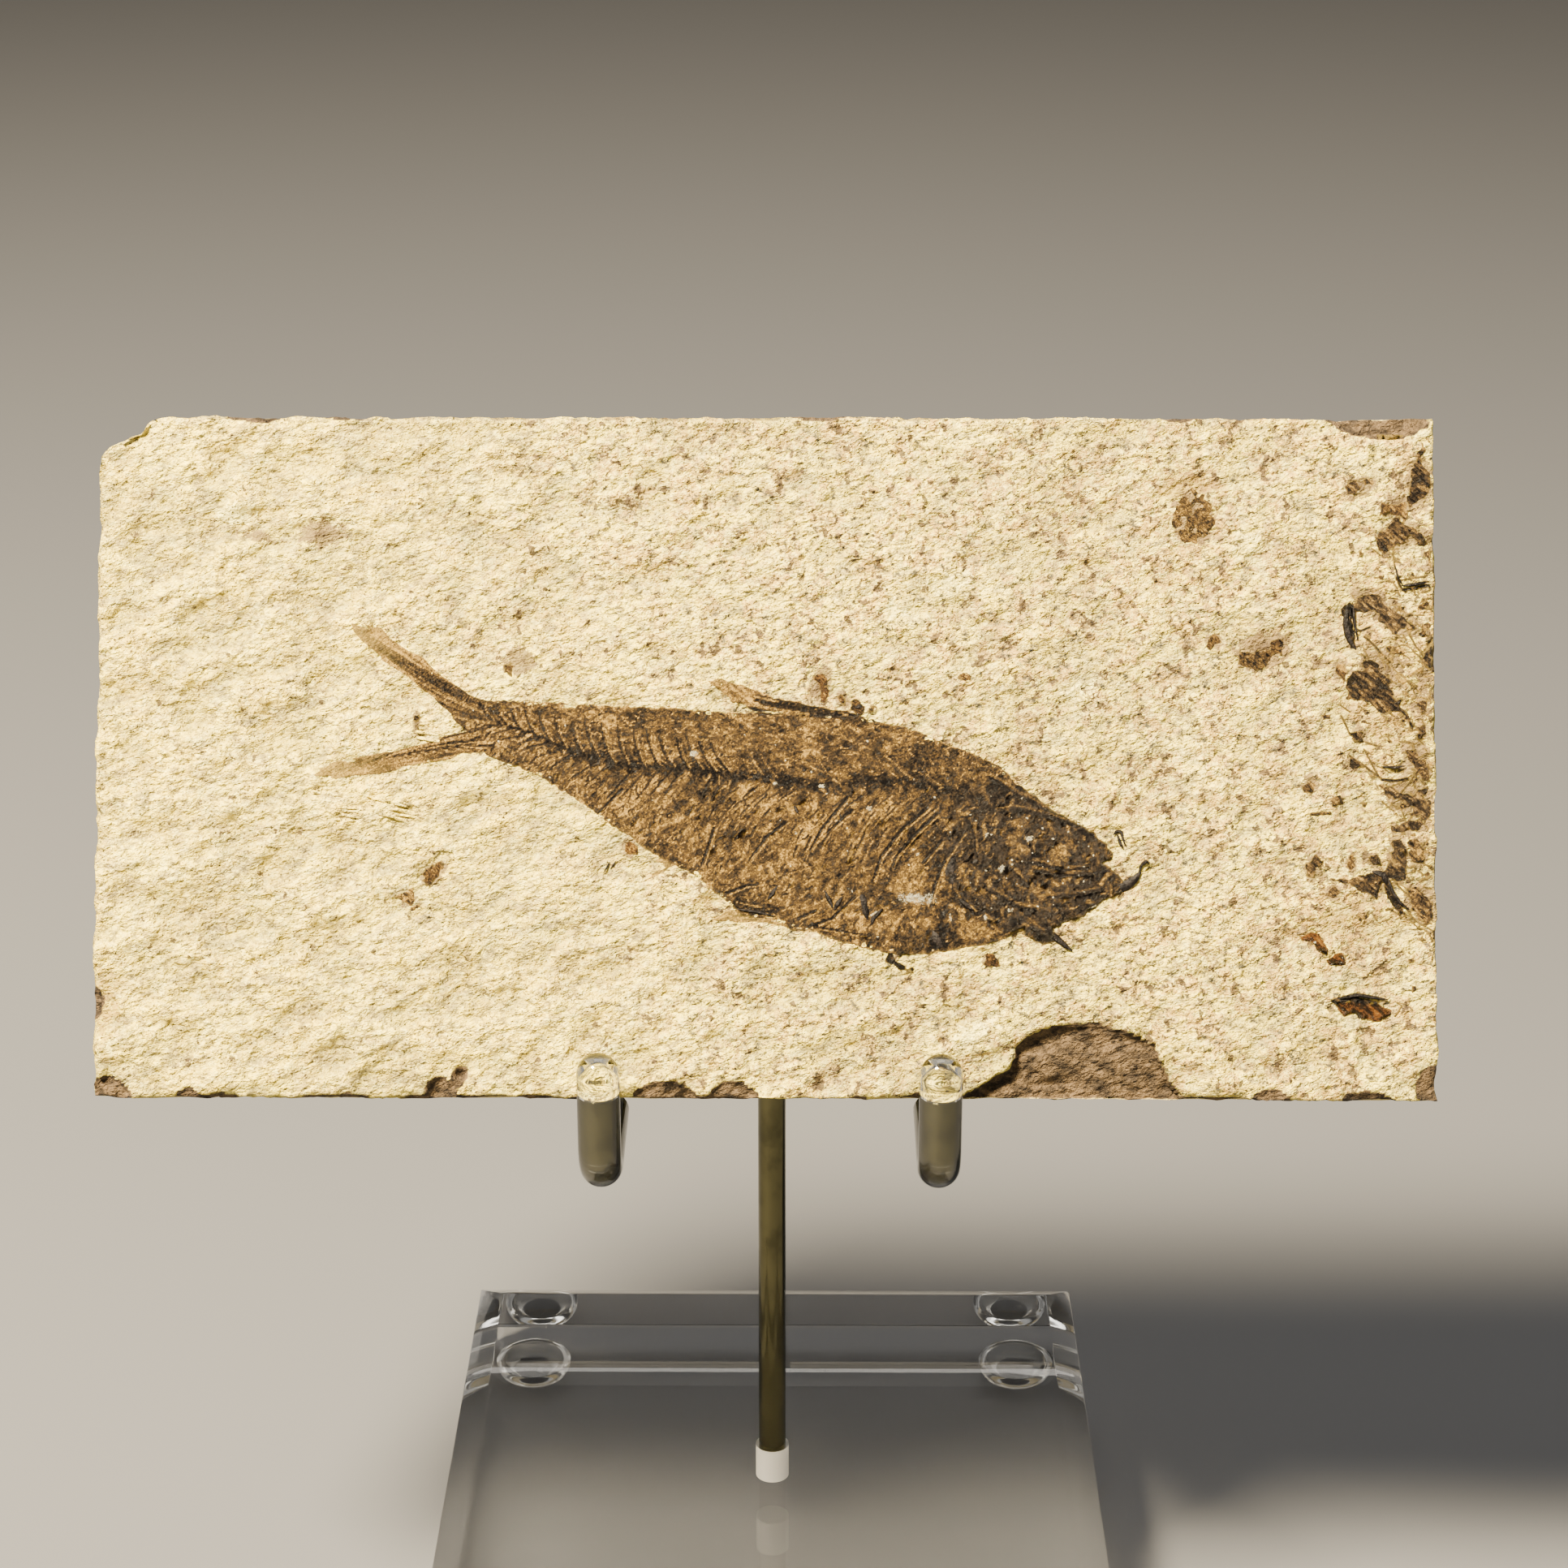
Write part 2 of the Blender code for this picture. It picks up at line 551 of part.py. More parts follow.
def build_fish(parent, materials):
    fish = add_object("fossil_fish", fish_plate(), materials["fossil_bone"], parent)
    outline = plate_mesh(FISH_OUTLINE, -4 * MM, lambda x, z: 3 * MM)
    combine(fish, add_cutter("fish_outline", outline, parent), "INTERSECT")
    combine(fish, add_cutter("fish_bones", fish_bones(), parent), "UNION", self_overlaps=True)
    for index, (line, width, height) in enumerate(STRAY_BONES):
        bm = bmesh.new()
        add_ridge(bm, line, width, height, BONE_DEPTH / MM)
        add_object(f"stray_bone_{index + 1:02d}", bm, materials["dark_bone"], parent)


def build_stand(materials):
    block = add_object("base_block", block_mesh(), materials["clear_acrylic"])
    hole = turned([(HOLE_RADIUS, BLOCK_TOP - HOLE_DEPTH), (HOLE_RADIUS, BLOCK_TOP + 1 * MM)], 24)
    combine(block, add_cutter("post_hole", hole), "DIFFERENCE")
    smooth(armature_object(materials["brass"]), 40)
    for name, side in (("sleeve_left", -1), ("sleeve_right", 1)):
        smooth(add_object(name, sleeve_mesh(side), materials["clear_vinyl"]), 50)
    reach = BLOCK_SIDE / 2 - FOOT_INSET
    for depth_name, y_side in (("front", -1), ("back", 1)):
        for side_name, x_side in (("left", -1), ("right", 1)):
            foot = add_object(f"foot_{depth_name}_{side_name}", foot_mesh(), materials["clear_rubber"])
            foot.location = (x_side * reach, y_side * reach, 0)
            smooth(foot, 40)


def main():
    for obj in list(bpy.data.objects):
        bpy.data.objects.remove(obj, do_unlink=True)
    materials = {
        "limestone": make_material("limestone", (0.62, 0.53, 0.38), 0.85),
        "fossil_bone": make_material("fossil_bone", (0.24, 0.13, 0.06), 0.5),
        "dark_bone": make_material("dark_bone", (0.07, 0.035, 0.02), 0.35),
        "clear_acrylic": make_material("clear_acrylic", (1, 1, 1), 0.02, transmission=1, ior=1.49),
        "brass": make_material("brass", (0.62, 0.46, 0.2), 0.3, metallic=1),
        "clear_vinyl": make_material("clear_vinyl", (0.95, 0.96, 0.95), 0.08, transmission=1, ior=1.53),
        "clear_rubber": make_material("clear_rubber", (0.95, 0.95, 0.95), 0.15, transmission=1, ior=1.45),
    }
    slab_rest = bpy.data.objects.new("slab_rest", None)
    bpy.context.collection.objects.link(slab_rest)
    slab_rest.location = (SLAB_SHIFT, SLAB_EDGE_Y, SLAB_EDGE_Z)
    slab_rest.rotation_euler.x = -SLAB_LEAN
    build_slab(slab_rest, materials)
    build_fish(slab_rest, materials)
    build_stand(materials)


main()
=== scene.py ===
import itertools
import math
import random
import bpy
import bmesh
import numpy as np
from mathutils import Matrix, Vector


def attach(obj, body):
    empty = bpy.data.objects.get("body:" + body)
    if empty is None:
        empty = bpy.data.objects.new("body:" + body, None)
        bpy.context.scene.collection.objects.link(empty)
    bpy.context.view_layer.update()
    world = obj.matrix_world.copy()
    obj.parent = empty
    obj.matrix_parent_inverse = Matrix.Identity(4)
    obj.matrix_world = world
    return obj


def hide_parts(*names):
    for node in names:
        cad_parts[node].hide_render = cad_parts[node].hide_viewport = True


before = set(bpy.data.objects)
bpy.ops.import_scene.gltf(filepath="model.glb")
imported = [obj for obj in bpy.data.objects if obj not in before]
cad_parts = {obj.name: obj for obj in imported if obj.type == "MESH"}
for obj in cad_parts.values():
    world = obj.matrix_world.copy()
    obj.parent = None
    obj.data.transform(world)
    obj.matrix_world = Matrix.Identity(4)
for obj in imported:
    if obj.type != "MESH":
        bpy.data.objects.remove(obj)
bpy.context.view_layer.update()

mm = 0.001
sideways, upwards = Vector((1, 0, 0)), Vector((0, 0, 1))

# The slab's face: lengths on it are millimetres across from its middle and up from its foot.
slabPlace = {
    "shift": -0.6, "footY": -22.0, "footZ": 75.5, "lean": 24.0, "width": 144.0, "height": 73.5, "thickness": 12.7,
}
faceMatrix = (
    Matrix.Translation((slabPlace["shift"] * mm, slabPlace["footY"] * mm, slabPlace["footZ"] * mm))
    @ Matrix.Rotation(math.radians(-slabPlace["lean"]), 4, "X")
    @ Matrix.Scale(mm, 4)
)


# Helpers: meshes
def turnOutwards(bm):
    # The faces of each closed shell are made to agree, and a shell that is inside out is turned round.
    bmesh.ops.recalc_face_normals(bm, faces=bm.faces)
    waiting = set(bm.faces)
    while waiting:
        reached = [waiting.pop()]
        for face in reached:
            for other in {other for edge in face.edges for other in edge.link_faces} & waiting:
                waiting.remove(other)
                reached.append(other)
        origin = reached[0].calc_center_median()
        volume = sum((face.calc_center_median() - origin).dot(face.normal) * face.calc_area() for face in reached)
        if volume < 0:
            bmesh.ops.reverse_faces(bm, faces=reached)


def addObject(name, data):
    made = bpy.data.objects.new(name, data)
    bpy.context.scene.collection.objects.link(made)
    return made


def addMesh(name, bm, materials):
    mesh = bpy.data.meshes.new(name)
    bm.to_mesh(mesh)
    bm.free()
    for material in materials:
        mesh.materials.append(material)
    mesh.shade_smooth()
    return addObject(name, mesh)


def finishPiece(name, bm, materials, nodes=(), sharp=None, place=Matrix.Scale(mm, 4)):
    # A mesh in millimetres becomes a piece in its place. Edges bent by more than "sharp" degrees stay crisp.
    turnOutwards(bm)
    bmesh.ops.transform(bm, matrix=place, verts=bm.verts)
    piece = addMesh(name, bm, materials)
    if sharp is not None:
        piece.data.set_sharp_from_angle(angle=math.radians(sharp))
    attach(piece, "root")
    if nodes:
        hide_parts(*nodes)
    print("made", name, "with", len(piece.data.polygons), "faces")
    return piece


def vertsOf(geometry):
    return [item for item in geometry if isinstance(item, bmesh.types.BMVert)]


def openEdges(verts):
    return list({edge for vert in verts for edge in vert.link_edges if edge.is_boundary})


def growRing(bm, ring):
    return vertsOf(bmesh.ops.extrude_edge_only(bm, edges=openEdges(ring))["geom"])


def uprightGrid(bm, area, columns, rows, depth=0.0):
    # A grid that faces the viewer and fills left, right, low, high.
    left, right, low, high = area
    place = Matrix.Translation(((left + right) / 2, depth, (low + high) / 2)) @ Matrix.Diagonal(
        (right - left, 1, high - low, 1)
    ) @ Matrix.Rotation(math.pi / 2, 4, "X")
    return bmesh.ops.create_grid(bm, x_segments=columns, y_segments=rows, size=0.5, matrix=place)["verts"]


def sweepRings(bm, rings, sides=40):
    # A unit circle is placed by each matrix in turn and skinned to the one before.
    ring = bmesh.ops.create_circle(bm, cap_ends=True, segments=sides, radius=1, matrix=rings[0])["verts"]
    for before, after in zip(rings, rings[1:]):
        ring = growRing(bm, ring)
        bmesh.ops.transform(bm, matrix=after @ before.inverted(), verts=ring)
    bmesh.ops.contextual_create(bm, geom=openEdges(ring))


def ringMatrix(point, along, side, width, height=None):
    # A ring across the direction "along", its own X laid on "side".
    along = along.normalized()
    side = (side - along * side.dot(along)).normalized()
    turn = Matrix((side, along.cross(side), along)).transposed().to_4x4()
    return Matrix.Translation(point) @ turn @ Matrix.Diagonal((width, height or width, 1, 1))


def standingRings(levels, x=0.0, y=0.0):
    # Rings about an upright line, from pairs of height and radius.
    return [ringMatrix(Vector((x, y, height)), upwards, sideways, radius) for height, radius in levels]


def pathRings(points, radii):
    rings = []
    side = sideways
    for index, (point, radius) in enumerate(zip(points, radii)):
        along = (points[min(index + 1, len(points) - 1)] - points[max(index - 1, 0)]).normalized()
        side = (side - along * side.dot(along)).normalized()
        rings.append(ringMatrix(point, along, side, radius))
    return rings


def bendPath(corners, bend, steps):
    # A path whose square corners are rounded to the radius "bend".
    points = [corners[0]]
    for before, corner, after in zip(corners, corners[1:], corners[2:]):
        into = (corner - before).normalized()
        out = (after - corner).normalized()
        for step in range(steps + 1):
            turn = math.pi / 2 * step / steps
            points.append(corner - into * bend * (1 - math.sin(turn)) + out * bend * (1 - math.cos(turn)))
    points.append(corners[-1])
    return points


# Helpers: numbers, over a whole face at once
def mix(first, second, share):
    return first * (1 - share) + second * share


def easeStep(low, high, value):
    share = np.clip((value - low) / (high - low), 0, 1)
    return share * share * (3 - 2 * share)


# Large odd numbers that scatter the lattice's whole numbers.
scatter = {"column": 374761393, "row": 668265263, "seed": 974634777, "again": 1274126177}


def latticeNoise(x, y, seed):
    # Smooth noise from -1 to 1 that takes a new value at every whole number.
    column, row = np.floor(x).astype(np.int64), np.floor(y).astype(np.int64)
    easeX, easeY = easeStep(0, 1, x - column), easeStep(0, 1, y - row)
    corners = []
    for stepX, stepY in ((0, 0), (1, 0), (0, 1), (1, 1)):
        mixed = (column + stepX) * scatter["column"] + (row + stepY) * scatter["row"] + seed * scatter["seed"]
        mixed = ((mixed ^ (mixed >> 13)) * scatter["again"]) & 0xFFFFFFFF
        corners.append(((mixed ^ (mixed >> 16)) & 0xFFFF) / 32767.5 - 1)
    return mix(mix(corners[0], corners[1], easeX), mix(corners[2], corners[3], easeX), easeY)


def fractalNoise(x, y, size, seed, octaves=3, stretch=1.0, turn=0.0):
    # Each octave adds finer noise at half the weight. "stretch" draws it out along the direction "turn".
    cosine, sine = math.cos(turn), math.sin(turn)
    along, across = (x * cosine + y * sine) / (size * stretch), (y * cosine - x * sine) / size
    total, reach = 0.0, 0.0
    for octave in range(octaves):
        weight = 0.5 ** octave
        total = total + weight * latticeNoise(along + 17.3 * octave, across - 9.1 * octave, seed + octave)
        reach += weight
        along, across = 1.9 * along + 0.6 * across, 1.9 * across - 0.6 * along
    return total / reach


def noisesAt(x, y, settings):
    return {name: fractalNoise(x, y, *values) for name, values in settings.items()}


def edgeDistance(x, y, start, end):
    # The share of the way along an edge at which each point is nearest to it, and how far off the point is.
    runX, runY = end[0] - start[0], end[1] - start[1]
    share = np.clip(((x - start[0]) * runX + (y - start[1]) * runY) / (runX * runX + runY * runY), 0, 1)
    return share, np.hypot(x - start[0] - share * runX, y - start[1] - share * runY)


def insideDistance(x, y, outline):
    # Millimetres inside an outline, negative outside it.
    nearest = np.full(x.shape, 1e9)
    inside = np.zeros(x.shape, bool)
    for start, end in zip(outline, outline[1:] + outline[:1]):
        nearest = np.minimum(nearest, edgeDistance(x, y, start, end)[1])
        if start[1] != end[1]:
            crossing = start[0] + (y - start[1]) / (end[1] - start[1]) * (end[0] - start[0])
            inside ^= ((start[1] > y) != (end[1] > y)) & (x < crossing)
    return np.where(inside, nearest, -nearest)


def ovalReach(x, y, middle, halfWidth, halfHeight, turn):
    # 0 in the middle of a turned oval, 1 on its edge.
    cosine, sine = math.cos(math.radians(turn)), math.sin(math.radians(turn))
    dx, dy = x - middle[0], y - middle[1]
    return np.hypot((dx * cosine + dy * sine) / halfWidth, (dy * cosine - dx * sine) / halfHeight)


def readOff(x, table):
    return np.interp(x, *zip(*table))


def vertPlaces(verts):
    return np.array([vert.co[:] for vert in verts])


def setAttribute(mesh, name, values):
    mesh.attributes.new(name, "FLOAT", "POINT").data.foreach_set("value", np.asarray(values, np.float32).ravel())


# Helpers: materials
class Wire:
    # A value in a shader's tree that can be added, subtracted and multiplied like a number.
    def __init__(self, tree, socket):
        self.tree, self.socket = tree, socket

    def reckon(self, operation, *others):
        return addNode(self.tree, "Math", dict(enumerate((self, *others))), operation=operation)

    def __add__(self, other):
        return self.reckon("ADD", other)

    def __sub__(self, other):
        return self.reckon("SUBTRACT", other)

    def __mul__(self, other):
        return self.reckon("MULTIPLY", other)

    def other(self, name):
        return Wire(self.tree, self.socket.node.outputs[name])

    def remap(self, low, high, newLow=0.0, newHigh=1.0, curve="SMOOTHSTEP"):
        limits = {"Value": self, "From Min": low, "From Max": high, "To Min": newLow, "To Max": newHigh}
        return addNode(self.tree, "MapRange", limits, interpolation_type=curve)

    def blend(self, first, second):
        # From the first colour to the second as this mask goes from 0 to 1.
        return addNode(self.tree, "Mix", {0: self, 6: first, 7: second}, output=2, data_type="RGBA")

    def mapped(self, **settings):
        return addNode(self.tree, "Mapping", {"Vector": self, **settings})

    def slanted(self, lean, along, across):
        # A place drawn out along a line that leans down to the right.
        settings = {"Vector": self, "Rotation": (0, lean, 0), "Scale": (along, 1, across)}
        return addNode(self.tree, "Mapping", settings, vector_type="TEXTURE")

    def noise(self, scale, detail=3.0, roughness=0.55, distortion=0.0):
        settings = {"Scale": scale, "Detail": detail, "Roughness": roughness, "Distortion": distortion}
        return addNode(self.tree, "TexNoise", {"Vector": self, **settings})


def connect(tree, value, socket):
    if isinstance(value, Wire):
        tree.links.new(value.socket, socket)
    else:
        socket.default_value = (*value, 1) if socket.type == "RGBA" else value


def addNode(tree, kind, inputs, output=0, **settings):
    made = tree.nodes.new("ShaderNode" + kind)
    for name, value in settings.items():
        setattr(made, name, value)
    for name, value in inputs.items():
        connect(tree, value, made.inputs[name])
    return Wire(tree, made.outputs[output])


def attributeValue(tree, name):
    return addNode(tree, "Attribute", {}, "Fac", attribute_name=name)


def startMaterial(name, **settings):
    material = bpy.data.materials.new(name)
    material.use_nodes = True
    finishMaterial(material, **settings)
    return material, material.node_tree


def finishMaterial(material, bump=None, **settings):
    # Bump: the height, its strength and its distance in metres.
    tree = material.node_tree
    surface = tree.nodes["Principled BSDF"]
    if bump is not None:
        settings["Normal"] = addNode(tree, "Bump", dict(zip(("Height", "Strength", "Distance"), bump)))
    for name, value in settings.items():
        connect(tree, value, surface.inputs[name.replace("_", " ")])
    return material


def facePlace(tree):
    # Object coordinates turned onto the slab's face, in millimetres.
    foot = (-slabPlace["shift"], -slabPlace["footY"], -slabPlace["footZ"])
    place = addNode(tree, "TexCoord", {}, "Object").mapped(Location=foot, Scale=(1000, 1000, 1000))
    return place.mapped(Rotation=(math.radians(slabPlace["lean"]), 0, 0))


# A shared effect: specks of random size, one to a cell, with ragged edges. Cells without a speck stay clear.
speckDefaults = {"Spacing": 1.0, "Share": 0.3, "Size": 0.3, "Raggedness": 0.3}


def makeSpeckGroup():
    group = bpy.data.node_groups.new("speckle", "ShaderNodeTree")
    group.interface.new_socket(name="Place", in_out="INPUT", socket_type="NodeSocketVector")
    for name, value in speckDefaults.items():
        socket = group.interface.new_socket(name=name, in_out="INPUT", socket_type="NodeSocketFloat")
        socket.default_value = value
    group.interface.new_socket(name="Mask", in_out="OUTPUT", socket_type="NodeSocketFloat")
    given = group.nodes.new("NodeGroupInput").outputs
    place, spacing, share, size, raggedness = (Wire(group, given[name]) for name in ("Place", *speckDefaults))
    scale = addNode(group, "Math", {0: 1.0, 1: spacing}, operation="DIVIDE")
    flat = place.mapped(Rotation=(-math.pi / 2, 0, 0))
    distance = addNode(group, "TexVoronoi", {"Vector": flat, "Scale": scale}, "Distance", voronoi_dimensions="2D")
    chance = addNode(group, "SeparateColor", {"Color": distance.other("Color")})
    reach = distance + (place.noise(scale * 3.2, 2.0) - 0.5) * raggedness
    inside = size * chance.other("Green").remap(0, 1, 0.35, 1.0, "LINEAR") - reach
    mask = inside.remap(0.0, 0.05) * chance.reckon("LESS_THAN", share)
    group.links.new(mask.socket, group.nodes.new("NodeGroupOutput").inputs["Mask"])
    return group


speckGroup = makeSpeckGroup()


def speckMask(place, *settings):
    made = place.tree.nodes.new("ShaderNodeGroup")
    made.node_tree = speckGroup
    for socket, value in zip(made.inputs, (place, *settings)):
        connect(place.tree, value, socket)
    return Wire(place.tree, made.outputs["Mask"])


# The fish's outline and bones, on the slab's face.
fishShape = {
    "body": [
        (-31.4, 42.3), (-30.7, 42.7), (-27.0, 42.7), (-22.4, 42.5), (-18.0, 42.3), (-13.6, 42.1), (-10.1, 42.0),
        (-6.6, 41.7), (-3.0, 41.5), (-0.8, 41.5), (3.0, 41.6), (7.4, 41.4), (11.3, 40.9), (13.2, 40.3),
        (15.2, 39.9), (17.8, 38.9), (19.9, 38.0), (22.0, 37.3), (23.9, 36.4), (25.4, 35.6), (26.9, 34.1),
        (28.4, 33.0), (30.1, 31.7), (32.1, 30.5), (34.2, 29.4), (35.4, 28.5), (36.6, 27.5), (37.2, 26.7),
        (37.3, 25.9), (36.2, 25.5), (37.4, 24.6), (38.6, 23.4), (38.2, 22.1), (36.3, 21.3), (35.3, 20.6),
        (34.0, 19.7), (32.5, 19.1), (30.6, 18.5), (29.4, 18.7), (27.6, 18.3), (26.4, 17.8), (25.2, 17.0),
        (22.0, 16.4), (18.2, 15.7), (15.6, 15.4), (13.1, 15.7), (10.6, 16.3), (8.1, 17.0), (5.4, 17.9), (3.5, 18.1),
        (1.4, 18.9), (-1.0, 19.4), (-3.0, 20.0), (-4.1, 21.2), (-5.6, 22.4), (-7.6, 24.0), (-9.6, 25.0),
        (-11.8, 26.2), (-14.6, 28.2), (-17.3, 29.9), (-19.4, 31.5), (-21.8, 33.0), (-24.2, 34.6), (-27.0, 35.7),
        (-29.8, 36.9), (-31.4, 38.3), (-32.2, 39.7), (-32.4, 41.2),
    ],
    "fins": [
        [
            (-29.6, 42.6), (-30.7, 42.8), (-31.8, 43.3), (-33.5, 44.5), (-35.6, 46.1), (-38.7, 48.5), (-42.0, 50.6),
            (-44.4, 51.1), (-44.1, 49.7), (-41.7, 47.5), (-38.7, 45.2), (-36.0, 43.3), (-33.9, 41.5), (-32.3, 39.8),
            (-29.4, 39.6),
        ],
        [
            (-29.4, 40.2), (-32.5, 39.4), (-35.2, 38.5), (-38.6, 37.5), (-42.1, 36.6), (-45.5, 35.9), (-48.5, 35.1),
            (-48.1, 34.7), (-44.9, 34.6), (-41.4, 34.8), (-37.7, 35.7), (-34.2, 36.4), (-31.1, 37.1), (-28.5, 37.3),
        ],
        [
            (10.8, 40.8), (9.8, 41.5), (6.7, 42.0), (2.9, 42.8), (0.9, 43.1), (-2.5, 44.5), (-5.0, 45.1),
            (-6.5, 45.0), (-6.0, 44.4), (-4.6, 43.8), (-3.4, 42.6), (-0.8, 41.7), (3.0, 41.2), (8.0, 40.6),
        ],
        [(-13.2, 23.2), (-11.2, 24.2), (-9.4, 25.2), (-8.0, 26.0), (-10.4, 26.4), (-11.6, 25.6), (-10.8, 24.8)],
        [(-5.4, 19.3), (-3.0, 19.2), (0.0, 19.0), (2.4, 18.4), (2.4, 19.8), (-1.0, 20.6), (-4.0, 20.4)],
    ],
    "spur": [(27.6, 19.2), (27.7, 17.7), (29.8, 16.6), (31.2, 17.0), (32.9, 16.0), (31.0, 17.8), (30.8, 19.2)],
    "backbone": [
        (-31.8, 41.0), (-29.2, 40.6), (-26.5, 39.6), (-25.3, 39.2), (-23.2, 38.2), (-21.5, 37.5), (-19.4, 37.0),
        (-17.7, 36.5), (-16.3, 36.0), (-12.9, 35.6), (-9.6, 35.5), (-5.9, 35.1), (-3.2, 34.8), (-0.9, 34.7),
        (2.9, 34.1), (5.9, 33.6), (8.7, 33.6), (11.9, 34.2), (14.4, 34.3), (16.9, 34.0), (19.5, 33.2), (23.3, 31.9),
    ],
    "skullMiddle": (28.4, 25.4), "skullReach": (10.4, 7.6),
    # middle, half width, half height, turn in degrees, darkness
    "patches": [
        ((31.6, 26.3), 1.35, 1.15, 0, 0.1), ((27.5, 27.0), 1.3, 0.7, -30, 0.12), ((37.2, 24.2), 1.2, 0.6, 30, 0.12),
        ((32.6, 23.4), 1.0, 0.5, 0, 0.1), ((22.6, 18.1), 2.1, 1.1, 5, 0.16), ((19.0, 24.4), 0.5, 1.9, -8, 0.12),
        ((29.0, 22.6), 1.2, 0.6, -10, 0.18), ((24.9, 33.0), 1.0, 1.9, 10, 1.15), ((22.0, 21.0), 2.4, 0.8, -35, 1.0),
        ((18.6, 17.2), 0.9, 1.0, 0, 1.1), ((22.4, 28.8), 1.9, 3.4, -14, 0.85), ((34.4, 21.6), 2.6, 1.4, 25, 0.95),
        ((33.8, 25.2), 1.0, 0.7, 0, 1.0), ((24.6, 27.2), 1.4, 1.5, 0, 0.9), ((-1.2, 20.8), 3.4, 0.7, -12, 0.85),
        ((11.6, 40.9), 1.0, 0.6, 0, 1.1), ((4.0, 41.6), 4.4, 0.45, -9, 0.95), ((8.4, 41.1), 3.2, 0.5, -6, 0.85),
        ((-30.2, 41.2), 1.8, 0.8, -20, 0.55), ((0.4, 31.4), 3.4, 1.3, -10, 0.1), ((5.2, 28.9), 3.4, 1.6, 40, 0.08),
        ((12.6, 31.2), 1.4, 1.0, 30, 0.12), ((15.4, 23.8), 2.6, 1.6, 50, 0.14), ((-13.6, 33.0), 1.6, 1.1, 30, 0.06),
        ((20.6, 36.0), 3.4, 1.2, -20, 0.55), ((29.4, 17.6), 1.8, 1.1, 0, 1.05), ((-2.6, 38.6), 6.0, 1.6, -4, 0.4),
    ],
    # middle, half width, half height, turn in degrees
    "minerals": [
        ((16.1, 21.6), 1.9, 0.6, -4), ((25.3, 24.8), 0.36, 0.36, 0), ((28.3, 28.0), 0.45, 0.35, 20),
        ((23.8, 28.5), 0.22, 0.22, 0), ((26.3, 20.4), 0.4, 0.22, 10), ((6.1, 33.6), 0.42, 0.22, 0),
        ((11.2, 31.2), 0.36, 0.28, -20), ((1.1, 33.9), 0.3, 0.22, 0), ((-7.7, 37.0), 0.5, 0.36, 0),
        ((16.4, 26.3), 0.25, 0.2, 0), ((11.8, 20.0), 0.95, 0.13, 27), ((23.6, 19.6), 0.18, 0.35, 0),
        ((35.6, 20.9), 1.0, 0.12, 20), ((19.9, 19.4), 0.14, 0.5, 10),
    ],
    "film": 0.07,
}
# Readings at places along the fish: the body's upper and lower edges, and how its bones lie there.
fishBuild = {
    "flecks": 1700, "vertebrae": 84, "splinters": 430, "eyeBones": 20, "backRays": 16, "bellyRays": 22, "ventRays": 8,
    "top": [(-31, 42.5), (-5, 41.5), (10, 41.0), (20, 38.0), (26, 35.0)],
    "low": [(-31, 38.0), (-20, 32.0), (-8, 24.4), (2, 18.8), (14, 15.8), (26, 18.0)],
    "spineLength": [(-29, 2.0), (-22, 3.9), (-16, 4.4), (-8, 3.6), (6, 4.6), (20, 3.6)],
    "spineLean": [(-29, 34), (-24, 25), (-17, 13), (-8, 22), (5, 40), (20, 52)],
    "rearRibTurn": [(-29, 188), (-23, 200), (-15, 225), (-4, 238)],
    "rearRibLength": [(-29, 2.6), (-22, 2.8), (-14, 4.2), (-4, 3.0)],
    "ribLength": [(-5, 5.5), (8, 8.0), (18, 10.5)],
    "ribTurn": [(-5, 226), (8, 231), (20, 236)],
}


def pointOnLine(line, share):
    place = share * (len(line) - 1)
    index = min(int(place), len(line) - 2)
    return tuple(mix(first, second, place - index) for first, second in zip(line[index], line[index + 1]))


def partOfLine(line, first, last, steps):
    return [pointOnLine(line, first + (last - first) * step / steps) for step in range(steps + 1)]


def shifted(line, dx, dy):
    return [(px + dx, py + dy) for px, py in line]


def arcLine(start, end, bow, steps=6):
    # A line from start to end, bowed to its left by a share of its length.
    runX, runY = end[0] - start[0], end[1] - start[1]
    points = []
    for step in range(steps + 1):
        share = step / steps
        lift = 4 * share * (1 - share) * bow
        points.append((start[0] + runX * share - runY * lift, start[1] + runY * share + runX * lift))
    return points


def headingLine(start, degrees, length, bow=0.0, steps=4):
    angle = math.radians(degrees)
    return arcLine(start, (start[0] + length * math.cos(angle), start[1] + length * math.sin(angle)), bow, steps)


def backboneHeight(x):
    return readOff(x, fishShape["backbone"])


# Every bone is a stroke: a line, its half widths at both ends, how far it stands up and its darkness.
def flecks(rng):
    # Short scraps of scale and bone all over the body, most of them lying with the muscles.
    for index in range(fishBuild["flecks"]):
        x = rng.uniform(-31, 26)
        middle, top, low = backboneHeight(x), readOff(x, fishBuild["top"]), readOff(x, fishBuild["low"])
        if rng.random() < 0.42:
            y = rng.uniform(middle, top)
            degrees = rng.gauss(-18, 22)
        else:
            y = rng.uniform(low, middle)
            degrees = rng.choice((rng.gauss(228, 16), rng.gauss(228, 16), rng.uniform(0, 180)))
        if x > 17:
            degrees = rng.uniform(0, 180)
        dark = rng.uniform(0.0, 0.2) if rng.random() < 0.36 else rng.uniform(0.55, 0.9)
        width = rng.uniform(0.06, 0.14)
        line = headingLine((x, y), degrees, rng.uniform(0.25, 1.1), rng.uniform(-0.2, 0.2), 3)
        yield line, width, width * 0.5, rng.uniform(0.02, 0.07), dark


